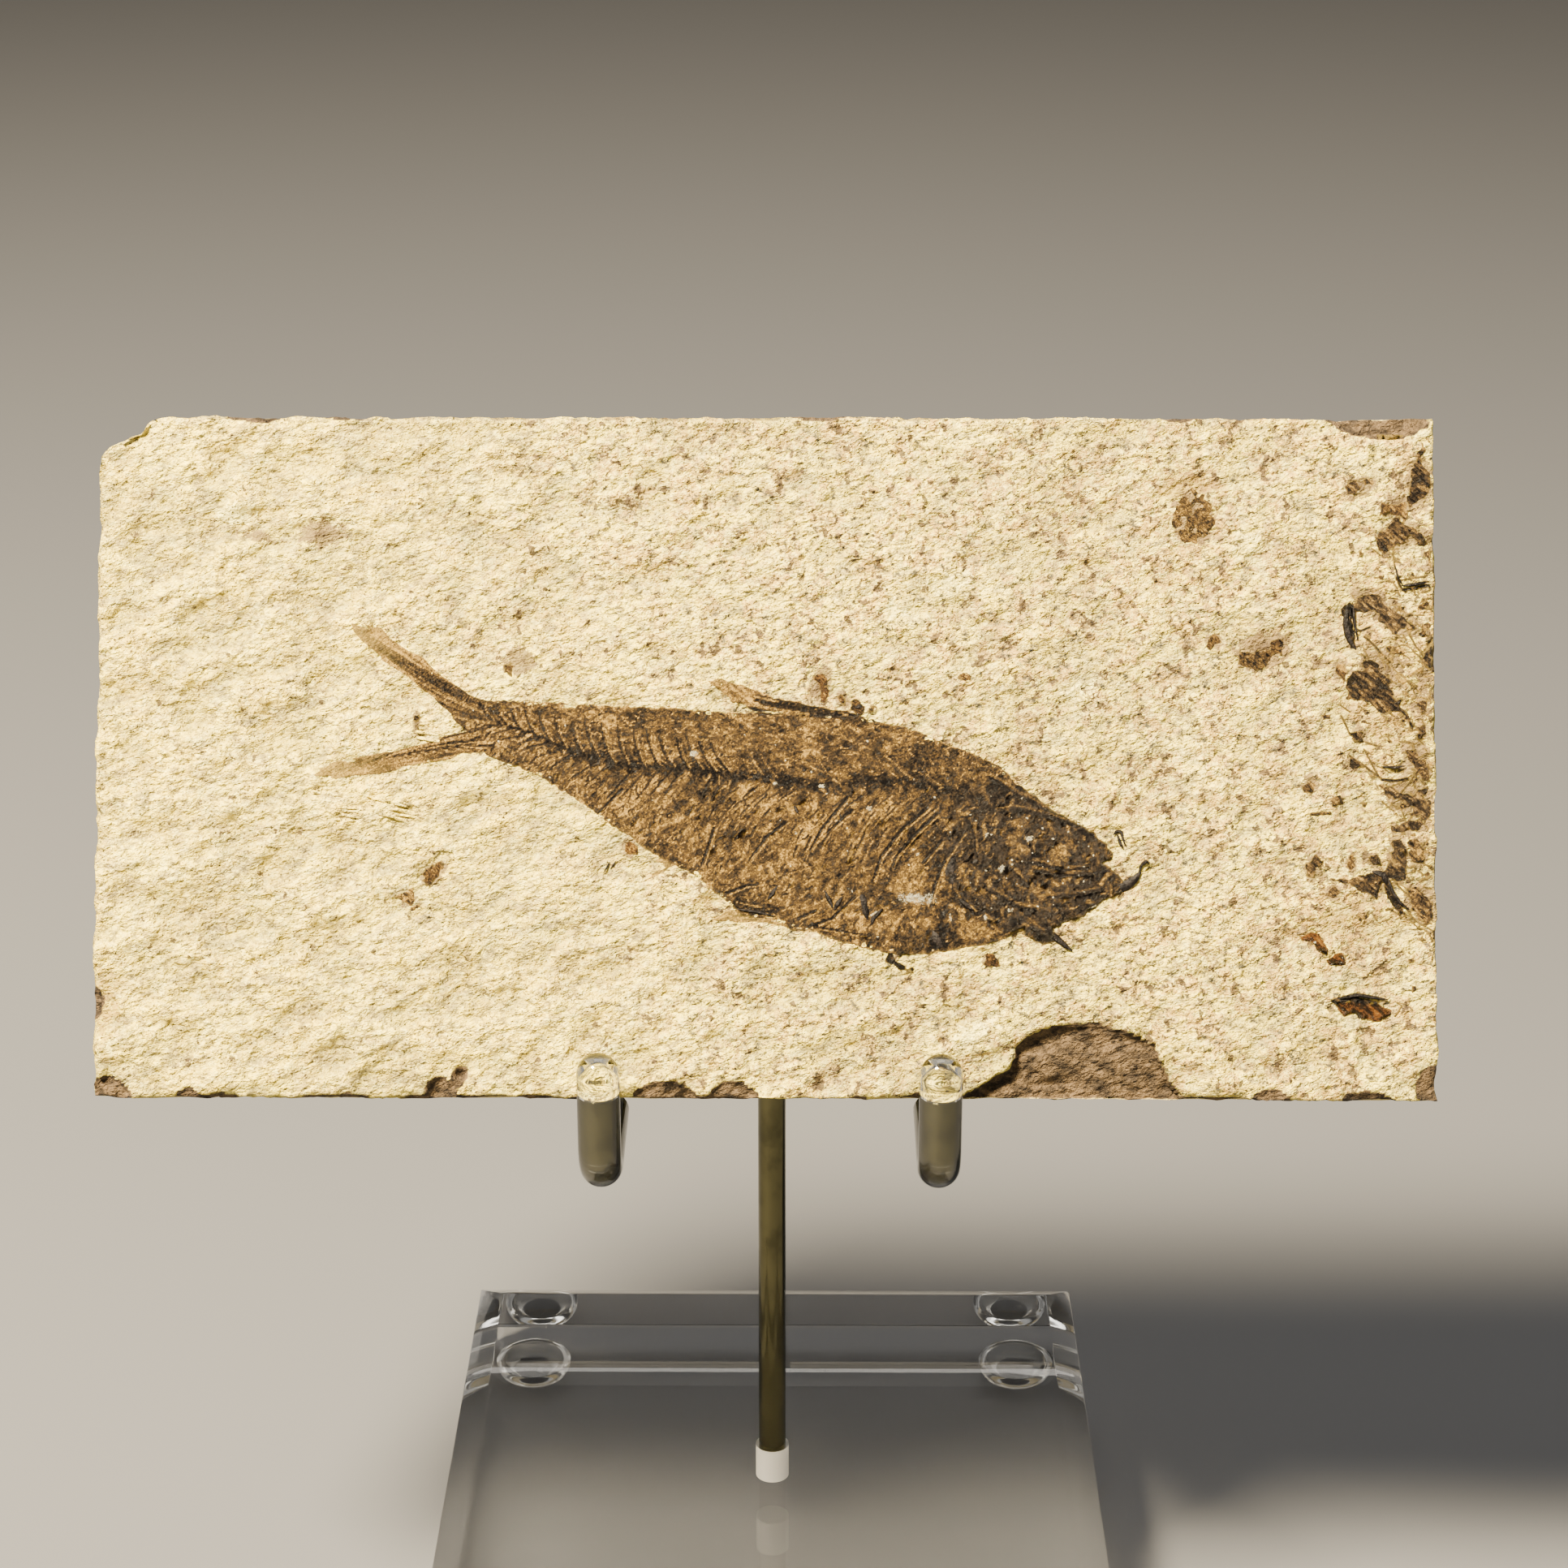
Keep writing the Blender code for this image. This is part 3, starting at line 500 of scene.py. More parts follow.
# The tail's two lobes: where the first and last rays start, the tip, the fork, how the rays bow and their number.
tailLobes = [
    ((-29.6, 42.4), (-30.0, 40.4), (-44.0, 50.5), (-33.0, 40.8), 0.03, 30),
    ((-28.8, 37.6), (-30.2, 39.8), (-48.0, 34.9), (-34.0, 38.8), -0.03, 28),
]


def finRays(rng):
    for first, last, tip, fork, bow, count in tailLobes:
        for index in range(count):
            share = index / (count - 1)
            endX, endY = pointOnLine([tip, fork], share ** 1.6)
            end = (endX + rng.uniform(-0.5, 0.5), endY + rng.uniform(-0.35, 0.35))
            whole = arcLine(pointOnLine([first, last], share), end, bow, 8)
            part = partOfLine(whole, rng.uniform(0, 0.25), 1, 6)
            yield part, 0.15, 0.07, 0.07, rng.choice((rng.uniform(0.6, 0.9), rng.uniform(0.05, 0.35)))
    # The fin on the back is folded down towards the tail.
    count = fishBuild["backRays"]
    for index in range(count):
        share = index / (count - 1)
        start = (10.2 - 10.5 * share, 41.2 + 0.2 * share)
        end = (-6.2 + 2.8 * share + rng.uniform(-0.4, 0.4), 44.8 - 2.4 * share + rng.uniform(-0.1, 0.1))
        ray = arcLine(start, end, 0.02 + rng.uniform(-0.01, 0.01), 6)
        stop = rng.choice((4, 5, 7))
        yield ray[:stop], 0.2, 0.08, 0.1, rng.uniform(0.75, 1.05) if stop < 6 else rng.uniform(0.0, 0.5)
    for index in range(fishBuild["bellyRays"]):
        start = (2.2 - 5.4 * rng.random(), 19.9 + rng.uniform(-0.7, 0.9))
        ray = headingLine(start, rng.gauss(176, 8), rng.uniform(1.0, 3.0), 0.03)
        yield ray, 0.13, 0.06, 0.06, rng.choice((0.95, 0.8, 0.1))
    for index in range(fishBuild["ventRays"]):
        start = (-8.6 - 0.4 * index, 25.3 - 0.1 * index)
        ray = headingLine(start, rng.gauss(208, 8), rng.uniform(1.0, 2.4), 0.03)
        yield ray, 0.12, 0.05, 0.04, rng.choice((0.6, 0.1))


# Larger bones of the skull: line, half width.
skullStrokes = [
    ([(26.5, 31.2), (29.8, 30.5), (32.1, 29.7), (34.4, 29.4)], 0.3),
    ([(24.0, 34.6), (27.2, 32.6), (30.4, 30.9)], 0.24), ([(28.6, 25.4), (31.8, 24.6), (34.4, 24.7)], 0.26),
    ([(28.8, 24.6), (31.6, 24.0), (35.0, 24.2)], 0.22), ([(26.8, 24.2), (28.1, 22.9)], 0.24),
    ([(24.4, 22.2), (26.8, 20.8), (28.8, 20.4)], 0.22), ([(31.0, 21.8), (33.6, 22.0), (36.0, 22.5)], 0.18),
    ([(21.8, 29.8), (22.6, 27.8), (22.6, 26.2)], 0.26),
]


def skullBones(rng):
    eyeX, eyeY = fishShape["patches"][0][0]
    count = fishBuild["eyeBones"]
    for index in range(count):
        degrees = 360 * index / count + rng.uniform(-8, 8)
        reach = 1.5 + rng.uniform(-0.15, 0.35)
        angle = math.radians(degrees)
        start = (eyeX + reach * math.cos(angle), eyeY + 0.85 * reach * math.sin(angle))
        yield headingLine(start, degrees + 90, 0.9), 0.2, 0.14, 0.16, rng.uniform(0.3, 1.0)
    # Splinters of the cheek and the gill cover lie in bent strips round the eye.
    (middleX, middleY), (reachX, reachY) = fishShape["skullMiddle"], fishShape["skullReach"]
    for index in range(fishBuild["splinters"]):
        turn = rng.uniform(0, math.tau)
        reach = math.sqrt(rng.uniform(0.01, 1.1))
        x, y = middleX + reachX * reach * math.cos(turn), middleY + reachY * reach * math.sin(turn)
        degrees = math.degrees(math.atan2(y - eyeY, x - eyeX)) + 90 + rng.gauss(0, 32)
        width = rng.uniform(0.08, 0.32)
        dark = rng.uniform(0.65, 1.0) if rng.random() < 0.66 else rng.uniform(0.1, 0.45)
        line = headingLine((x, y), degrees, rng.uniform(0.3, 1.2), rng.uniform(-0.2, 0.2))
        yield line, width, width * 0.5, rng.uniform(0.05, 0.26), dark
    for line, width in skullStrokes:
        yield line, width, width * 0.7, 0.26, 1.0
        # A lighter copy just above each skull bone is a painted highlight on its upper side.
        yield shifted(line, 0.1, 0.4), 0.15, 0.1, 0.2, 0.3


def backboneBones(rng):
    count = fishBuild["vertebrae"]
    for index in range(count):
        x = -31.0 + 54.0 * index / (count - 1)
        y = backboneHeight(x)
        rear = x < -4
        jitter = rng.uniform(-0.25, 0.25)
        yield [(x - 0.35, y + 0.3 + jitter), (x + 0.35, y + jitter)], 0.15, 0.1, 0.08, 0.62 if x < -27 else 0.9
        if index % 2 == 0 and x > -29:
            yield [(x - 0.3, y + 0.1), (x + 0.05, y - 0.35 - jitter)], 0.26 if rear else 0.2, 0.16, 0.12, 1.0
        if not rear:
            line = headingLine((x, y + rng.uniform(-0.7, 0.5)), rng.gauss(-10, 22), rng.uniform(0.5, 1.3))
            yield line, 0.15, 0.08, 0.07, rng.uniform(0.75, 1.05)
    # Spines stand along the back, each with a painted highlight, a lighter raised line, beside it.
    x = -29.4
    while x < 21:
        length = readOff(x, fishBuild["spineLength"]) * rng.uniform(0.86, 1.1)
        degrees = 90 + (readOff(x, fishBuild["spineLean"]) + rng.uniform(-4, 4))
        strong = x < -3
        start = (x, backboneHeight(x) + 0.1)
        dark = rng.uniform(0.86, 1.05) if strong else rng.uniform(0.5, 0.75)
        if strong or rng.random() < 0.6:
            yield headingLine(start, degrees, length, 0.07, 6), 0.16 if strong else 0.12, 0.07, 0.1, dark
            beside = (start[0] + 0.24, start[1] + 0.1)
            yield headingLine(beside, degrees, length * 0.8, 0.07, 6), 0.1, 0.06, 0.09, 0.12
        x += rng.uniform(1.45, 1.75)


# Ribs that lie loose.
looseRibs = [
    [(17.4, 31.3), (14.4, 28.8), (12.4, 26.1), (11.5, 23.4)], [(18.3, 30.6), (15.8, 28.3), (13.8, 25.8)],
    [(8.8, 32.4), (6.1, 29.1), (4.8, 26.7)], [(9.3, 31.1), (7.8, 29.7), (6.6, 28.6)],
    [(2.1, 29.7), (0.1, 28.1), (-1.7, 25.7)], [(-5.5, 29.0), (-6.8, 25.1)], [(18.9, 27.8), (16.8, 25.4)],
    [(-15.4, 33.2), (-17.9, 30.7)], [(21.3, 28.8), (19.3, 25.9), (18.2, 23.2), (17.7, 21.2)],
    [(4.8, 18.6), (7.1, 19.4), (9.6, 21.8)], [(3.5, 19.4), (5.5, 20.3)], [(5.3, 18.5), (11.0, 17.6)],
    [(-4.2, 22.1), (-2.2, 22.9), (-0.8, 23.1)],
]


def ribBones(rng):
    x = -28.6
    while x < -2:
        degrees = readOff(x, fishBuild["rearRibTurn"]) + rng.uniform(-6, 6)
        length = readOff(x, fishBuild["rearRibLength"]) * rng.uniform(0.7, 1.15)
        start = (x, backboneHeight(x) - rng.uniform(0.2, 0.5))
        line = headingLine(start, degrees, length, rng.uniform(-0.06, 0.02), 5)
        yield line, 0.17, 0.09, 0.09, rng.uniform(0.7, 1.0)
        x += rng.uniform(1.1, 1.7)
    # Ribs sweep down towards the tail, seen only in pieces, each a dark bone, most with a painted highlight, a lighter
    # raised line, beside it.
    x = -5.0
    while x < 20.5:
        start = (x, backboneHeight(x) - rng.uniform(0.8, 1.4))
        degrees = readOff(x, fishBuild["ribTurn"]) + rng.gauss(0, 3)
        whole = headingLine(start, degrees, readOff(x, fishBuild["ribLength"]), rng.uniform(-0.13, -0.05), 12)
        first = rng.uniform(0, 0.25)
        while first < 0.85:
            last = min(first + rng.uniform(0.12, 0.34), 1)
            part = shifted(partOfLine(whole, first, last, 4), rng.uniform(-0.25, 0.25), 0)
            yield part, 0.13, 0.07, 0.09, rng.uniform(0.6, 0.95)
            if rng.random() < 0.6:
                yield shifted(part, 0.25, -0.12), 0.12, 0.06, 0.12, rng.uniform(0.05, 0.25)
            first = last + rng.uniform(0.03, 0.22)
        x += rng.uniform(0.6, 1.6)
    for line in looseRibs:
        yield line, 0.2, 0.12, 0.14, 1.0
        # A lighter raised line beside each loose rib is a painted highlight.
        yield shifted(line, 0.3, -0.2), 0.12, 0.07, 0.12, 0.08


def nearLine(x, y, line, margin):
    (left, right), (low, high) = ((min(side) - margin, max(side) + margin) for side in zip(*line))
    return np.nonzero((x > left) & (x < right) & (y > low) & (y < high))[0]


def followLine(x, y, line):
    # How far each point is from a line, and how far along it the nearest spot is, from 0 to 1.
    nearest, along = np.full(x.shape, 1e9), np.zeros(x.shape)
    for index, (start, end) in enumerate(zip(line, line[1:])):
        share, distance = edgeDistance(x, y, start, end)
        closer = distance < nearest
        nearest = np.where(closer, distance, nearest)
        along = np.where(closer, (index + share) / (len(line) - 1), along)
    return nearest, along


def drawBones(strokes, x, y, rise, dark):
    # Each stroke raises and tints the points within its width.
    for line, wide, narrow, height, tone in strokes:
        near = nearLine(x, y, line, max(wide, narrow))
        if not len(near):
            continue
        nearest, along = followLine(x[near], y[near], line)
        inside = np.clip(1 - (nearest / mix(wide, narrow, along)) ** 2, 0, 1)
        rise[near] = np.maximum(rise[near], height * np.sqrt(inside))
        dark[near] = mix(dark[near], tone, easeStep(0.0, 0.6, inside))


# Slab. Its noises: size in millimetres, seed, octaves, how far drawn out, turn.
stoneRelief = {"broad": 0.22, "ripples": 0.50, "roughRipples": 0.55, "grain": 0.28, "sink": 0.24}
stoneNoises = {"broad": (8.0, 11, 2), "ripples": (2.6, 23, 3, 1.5, 0.3), "grain": (0.9, 37, 2), "rough": (24.0, 51, 2)}


def stoneRise(x, y):
    # How far the split face stands out: small scallops and ripples running down to the left.
    size, noise = stoneRelief, noisesAt(x, y, stoneNoises)
    ripples = size["ripples"] + size["roughRipples"] * easeStep(-0.3, 0.35, noise["rough"] - x / 110 - y / 260 + 0.1)
    return size["broad"] * noise["broad"] + ripples * noise["ripples"] + size["grain"] * noise["grain"] - size["sink"]


slabFinish = {
    "columns": 96, "rows": 49, "layers": 6, "cuts": 3, "sideRoughness": 0.42, "backRoughness": 0.7,
    "sideGrain": 0.2, "breakLine": ((-72.1, 66.9), (-65.0, 73.5)), "drawnBack": 1.02, "near": 0.01,
}
slabChips = {
    "broken corner": [
        (-80, 64.5), (-72.2, 66.9), (-71.7, 68.8), (-71.2, 69.5), (-69.9, 70.2), (-68.6, 70.8), (-67.6, 71.1),
        (-66.9, 71.9), (-66.2, 72.8), (-65.0, 73.5), (-63.5, 80), (-80, 80),
    ],
    "big chip": [
        (20.0, -4), (21.4, 0.6), (24.0, 2.2), (26.2, 3.3), (26.8, 5.6), (27.7, 6.6), (28.8, 7.3), (31.0, 8.1),
        (33.5, 8.4), (36.0, 8.3), (38.8, 7.5), (41.8, 6.2), (42.3, 4.7), (43.1, 2.8), (44.6, 0.9), (46, -4),
    ],
    # middle, half width, half height, depth, turn in degrees
    "edge": [
        ((65.6, 73.6), 5.8, 2.6, 1.5, -6), ((-70.4, -0.2), 2.9, 2.6, 1.9, 25), ((-72.2, 10.2), 1.5, 1.9, 1.0, 0),
        ((-34.2, -0.6), 2.0, 3.4, 1.3, 18), ((-32.6, 2.3), 0.9, 1.5, 0.8, -20), ((-10.4, -0.6), 4.1, 2.6, 1.2, -4),
        ((-3.4, -0.6), 3.1, 2.8, 1.3, 5), ((-61.6, -0.5), 1.6, 1.8, 0.9, 0), ((72.0, 1.6), 2.6, 2.4, 0.9, 40),
        ((72.4, 47.9), 1.7, 1.9, 1.1, 0), ((54.0, -0.6), 2.4, 1.9, 0.9, 6), ((64.6, -0.6), 3.2, 1.9, 1.0, -5),
        ((17.5, -0.6), 3.2, 1.6, 0.8, 0), ((-55.0, 73.9), 3.4, 1.3, 0.6, 0), ((-45.0, 73.9), 2.4, 1.0, 0.5, 3),
        ((44.5, 73.9), 2.6, 1.1, 0.5, -3), ((6.0, 73.9), 4.0, 0.9, 0.4, 0), ((-20.0, -0.5), 1.8, 1.0, 0.5, 0),
    ],
    "wallWidth": 0.35, "fall": 0.16, "raggedness": 0.28, "floor": 0.16,
}
slabStains = {
    # middle, half width, half height, turn in degrees, strength
    "brown": [
        ((-47.9, 60.8), 2.2, 1.5, 10, 0.72), ((-54.6, 60.4), 2.7, 0.7, -12, 0.55),
        ((-26.4, 46.9), 1.6, 1.5, 20, 0.8), ((46.0, 62.6), 1.9, 2.5, 10, 1.0), ((53.4, 48.2), 2.6, 1.7, 15, 1.0),
        ((48.2, 49.4), 0.9, 0.7, 0, 0.9), ((5.9, 44.8), 0.9, 1.7, -20, 1.0), ((8.3, 42.8), 0.6, 1.0, 10, 1.0),
        ((-35.6, 24.1), 1.5, 0.8, 35, 1.0), ((-38.2, 21.4), 0.9, 0.9, 0, 0.6), ((-37.4, 40.2), 0.45, 1.3, 5, 1.0),
        ((-14.6, 26.9), 0.7, 0.9, 0, 1.0), ((24.0, 15.0), 0.8, 0.6, 0, 1.0), ((58.4, 33.9), 0.8, 1.0, 0, 0.9),
        ((61.6, 32.2), 0.5, 0.5, 0, 0.9), ((58.8, 24.8), 1.1, 1.6, 15, 0.75), ((59.4, 46.9), 0.8, 0.5, 0, 0.9),
        ((55.5, 25.5), 1.0, 0.8, 0, 0.6), ((61.6, 46.2), 0.7, 1.0, 0, 1.0), ((63.8, 65.8), 1.7, 1.0, 20, 0.9),
        ((70.4, 66.6), 1.2, 2.6, 5, 1.0), ((67.7, 63.8), 1.8, 1.0, 0, 1.0), ((68.4, 60.6), 2.9, 1.5, 10, 0.8),
        ((65.0, 53.4), 2.0, 1.2, -15, 0.9), ((68.6, 51.2), 2.0, 1.2, -35, 0.85),
        ((65.8, 46.0), 2.2, 2.6, -40, 0.95), ((69.8, 36.4), 1.7, 2.1, 0, 0.9), ((69.2, 32.2), 2.6, 1.9, -15, 0.9),
        ((69.2, 29.4), 2.2, 0.9, 10, 0.6), ((67.7, 25.8), 1.2, 2.9, 5, 0.7), ((69.9, 26.4), 0.9, 1.7, 0, 0.9),
        ((70.3, 21.2), 1.7, 1.9, 20, 0.9), ((63.8, 39.2), 0.8, 0.9, 0, 1.0), ((63.0, 36.2), 0.7, 0.8, 0, 1.0),
        ((62.8, 25.4), 0.5, 1.2, 0, 0.8), ((65.2, 25.8), 0.8, 0.8, 0, 0.8), ((60.8, 22.4), 0.8, 0.9, 0, 0.8),
        ((70.9, 44.0), 1.4, 5.0, 0, 0.45), ((70.9, 57.0), 1.3, 4.0, 0, 0.4),
    ],
    "ochre": [
        ((45.2, 66.0), 3.6, 1.6, 5, 0.9), ((46.0, 62.4), 4.5, 3.8, 0, 0.5), ((53.4, 48.2), 4.2, 3.0, 0, 0.5),
        ((66.5, 44.0), 6.0, 17.0, 0, 0.5), ((62.0, 20.0), 8.0, 6.0, 20, 0.45), ((-70.5, 9.0), 2.0, 6.0, 0, 0.5),
        ((30.0, 64.0), 9.0, 4.0, 0, 0.3), ((44.0, 55.0), 8.0, 6.0, 30, 0.3), ((39.0, 30.0), 3.0, 7.0, 10, 0.4),
    ],
    "white": [
        ((-57.2, 62.8), 2.2, 1.1, 5, 0.9), ((-54.4, 68.2), 1.0, 1.2, 30, 0.6), ((19.5, 55.5), 3.6, 2.2, 10, 0.5),
        ((13.8, 52.6), 1.2, 1.6, 0, 0.6), ((22.5, 7.5), 3.6, 1.4, 20, 0.6), ((-16.0, 5.5), 2.6, 1.2, 0, 0.45),
        ((33.5, 44.0), 2.0, 1.4, 0, 0.55), ((52.0, 60.0), 1.6, 1.0, 0, 0.5), ((70.5, 71.8), 1.6, 0.8, 0, 0.6),
    ],
}


def chipDepths(x, y):
    # Depth broken away from the face, and a mask that is 1 on the fresh brown surface.
    ragged = slabChips["raggedness"] * fractalNoise(x, y, 1.6, 71, 3)
    floor = slabChips["floor"] * fractalNoise(x, y, 1.7, 83, 3)
    wall = slabChips["wallWidth"]
    inside = insideDistance(x, y, slabChips["big chip"]) + ragged * 0.7
    depth = np.where(inside > 0, easeStep(0, wall, inside) * (0.75 + slabChips["fall"] * (8.4 - y) + floor), 0.0)
    mask = easeStep(-0.02, 0.12, inside)
    for middle, halfWidth, halfHeight, deep, turn in slabChips["edge"]:
        reach = ovalReach(x, y, middle, halfWidth, halfHeight, turn)
        inside = (1 - reach) * min(halfWidth, halfHeight) + ragged
        shell = easeStep(0, wall, inside) * (0.45 + 0.55 * np.clip(1 - reach, 0, 1)) * deep
        depth = np.maximum(depth, np.where(inside > 0, shell + floor * 0.6, 0.0))
        mask = np.maximum(mask, easeStep(-0.02, 0.12, inside))
    # A thin line of small flakes is lost along every edge: distance from it, place along it, seed, share, tone.
    halfWidth, height = slabPlace["width"] / 2, slabPlace["height"]
    for distance, along, seed, share, tone in (
        (x + halfWidth, y, 91, 0.75, 0.5), (halfWidth - x, y, 93, 0.35, 0.5),
        (y, x, 95, 0.55, 0.75), (height - y, x, 97, 0.5, 0.6),
    ):
        bite = share + 0.9 * fractalNoise(along, along * 0 + seed, 3.4, seed, 3) + 0.3 * ragged
        inside = bite * 0.75 - distance
        depth = np.maximum(depth, np.clip(inside, 0, 1.2) * 1.1)
        mask = np.maximum(mask, easeStep(0.0, 0.2, inside) * easeStep(-0.1, 0.3, bite - 0.5) * tone)
    return np.maximum(depth, 0), mask


def growSlab(bm):
    # The back is pulled forward in layers, and the face is cut finer.
    width, height, thickness = slabPlace["width"], slabPlace["height"], slabPlace["thickness"]
    area = (-width / 2, width / 2, 0, height)
    uprightGrid(bm, area, slabFinish["columns"], slabFinish["rows"], thickness)
    front = list(bm.faces)
    for layer in range(slabFinish["layers"]):
        grown = bmesh.ops.extrude_face_region(bm, geom=front)["geom"]
        if layer > 0:
            bmesh.ops.delete(bm, geom=front, context="FACES_ONLY")
        front = [item for item in grown if isinstance(item, bmesh.types.BMFace)]
        bmesh.ops.translate(bm, verts=vertsOf(grown), vec=(0, -thickness / slabFinish["layers"], 0))
    edges = list({edge for face in front for edge in face.edges})
    bmesh.ops.subdivide_edges(bm, edges=edges, cuts=slabFinish["cuts"], use_grid_fill=True)


def brokenInset(place, shift, depth, size, seed):
    # The edges are broken, not sawn, so they step in and out through the thickness.
    steps = np.abs(fractalNoise(place + shift, depth, size, seed, 3))
    return slabFinish["sideRoughness"] * steps + slabFinish["sideGrain"] * np.abs(
        fractalNoise(place, depth, 0.9, seed + 4, 2)
    )


def makeSlab(material):
    bm = bmesh.new()
    growSlab(bm)
    co = vertPlaces(bm.verts)
    x, depth, y = co[:, 0].copy(), co[:, 1].copy(), co[:, 2].copy()
    near = slabFinish["near"]
    onSide = np.abs(x) > slabPlace["width"] / 2 - near
    onRim = (y < near) | (y > slabPlace["height"] - near)
    onFront, onBack = depth < near, depth > slabPlace["thickness"] - near
    co[:, 0] -= np.where(onSide, np.sign(x) * brokenInset(y, 40 * np.sign(x), depth, 4.2, 101), 0)
    co[:, 2] -= np.where(onRim, np.where(y > 1, 1, -1) * brokenInset(x, 90 * (y > 1), depth, 4.6, 111), 0)
    inCorner = insideDistance(x, y, slabChips["broken corner"]) + 0.25 * fractalNoise(x, y + depth, 1.8, 121, 3)
    chipDepth, chipMask = chipDepths(x, y)
    whole = easeStep(-0.5, -1.3, inCorner)    # chips end short of the broken corner
    sunk = 0.45 * easeStep(0.45, 0.9, insideDistance(x, y, fishShape["body"]))    # keeps the stone below the fish
    co[:, 1] += np.where(onFront, chipDepth * whole + sunk - stoneRise(x, y), 0)
    co[:, 1] -= np.where(onBack, slabFinish["backRoughness"] * np.abs(fractalNoise(x, y, 11.0, 131, 4)), 0)
    # Points past the broken corner are drawn back onto its break.
    (startX, startY), (endX, endY) = slabFinish["breakLine"]
    run = Vector((endX - startX, endY - startY)).normalized()
    overrun = np.clip(inCorner, 0, None) * slabFinish["drawnBack"]
    co[:, 0] += run.y * overrun
    co[:, 2] -= run.x * overrun
    for vert, place in zip(bm.verts, co):
        vert.co = place
    piece = finishPiece("limestoneSlab", bm, [material], ["slab"], place=faceMatrix)
    for kind, spots in slabStains.items():
        stain = np.zeros(x.shape)
        for *oval, strength in spots:
            stain = np.maximum(stain, strength * np.clip(1.6 - ovalReach(x, y, *oval), 0, 1.6))
        setAttribute(piece.data, kind + "Stain", np.where(onFront, stain, 0))
    setAttribute(piece.data, "chip", np.where(onFront, chipMask * whole, 0))
    setAttribute(piece.data, "edgeFace", np.where(onFront, 0, 1))
    # Specks and ochre thicken towards the right; this also darkens the right side as painted shade, standing in for
    # the key light falling off away from the left.
    drift = x + 0.35 * (y - 36) + 18 * fractalNoise(x, y, 16.0, 141, 2)
    setAttribute(piece.data, "speckledDarkRight", 0.25 + 0.75 * easeStep(-45, 15, drift))
    # Painted shade: a mask that is 1 in the low spots of the face's relief, where the colour is darkened.
    setAttribute(piece.data, "hollowShade", np.clip(0.5 - 3.2 * (stoneRise(x, y) + stoneRelief["sink"]), 0, 1))


stoneColours = {
    "cream": (0.87, 0.68, 0.078), "pale": (0.92, 0.76, 0.11), "buff": (0.35, 0.275, 0.115),
    "ochre": (0.58, 0.37, 0.075), "stain": (0.3, 0.178, 0.04), "nodule": (0.165, 0.114, 0.046),
    "oliveShade": (0.078, 0.07, 0.041), "brown": (0.032, 0.0192, 0.0105), "rust": (0.072, 0.048, 0.0235),
    "fresh": (0.026, 0.0178, 0.01), "freshPale": (0.118, 0.078, 0.037), "silt": (0.38, 0.3, 0.15),
    "shade": (0.29, 0.26, 0.135), "pinpoint": (0.019, 0.017, 0.014), "white": (0.96, 0.87, 0.27),
    "bed": (0.55, 0.45, 0.2), "edge": (0.68, 0.565, 0.27),
}
# Patterns in the stone: scale, detail, roughness, distortion.
stonePatterns = {
    "clouds": (0.13, 3.0, 0.6), "streaks": (0.42, 5.0, 0.72), "flaky": (0.62, 5.0, 0.78, 0.3),
    "gritty": (1.4, 5.0, 0.8), "ragged": (1.3, 4.0, 0.75), "drift": (0.3, 2.0, 0.5),
    "crumbs": (0.85, 3.0, 0.6), "scallops": (0.85, 3.0, 0.6), "beds": (1.0, 3.0, 0.7),
}


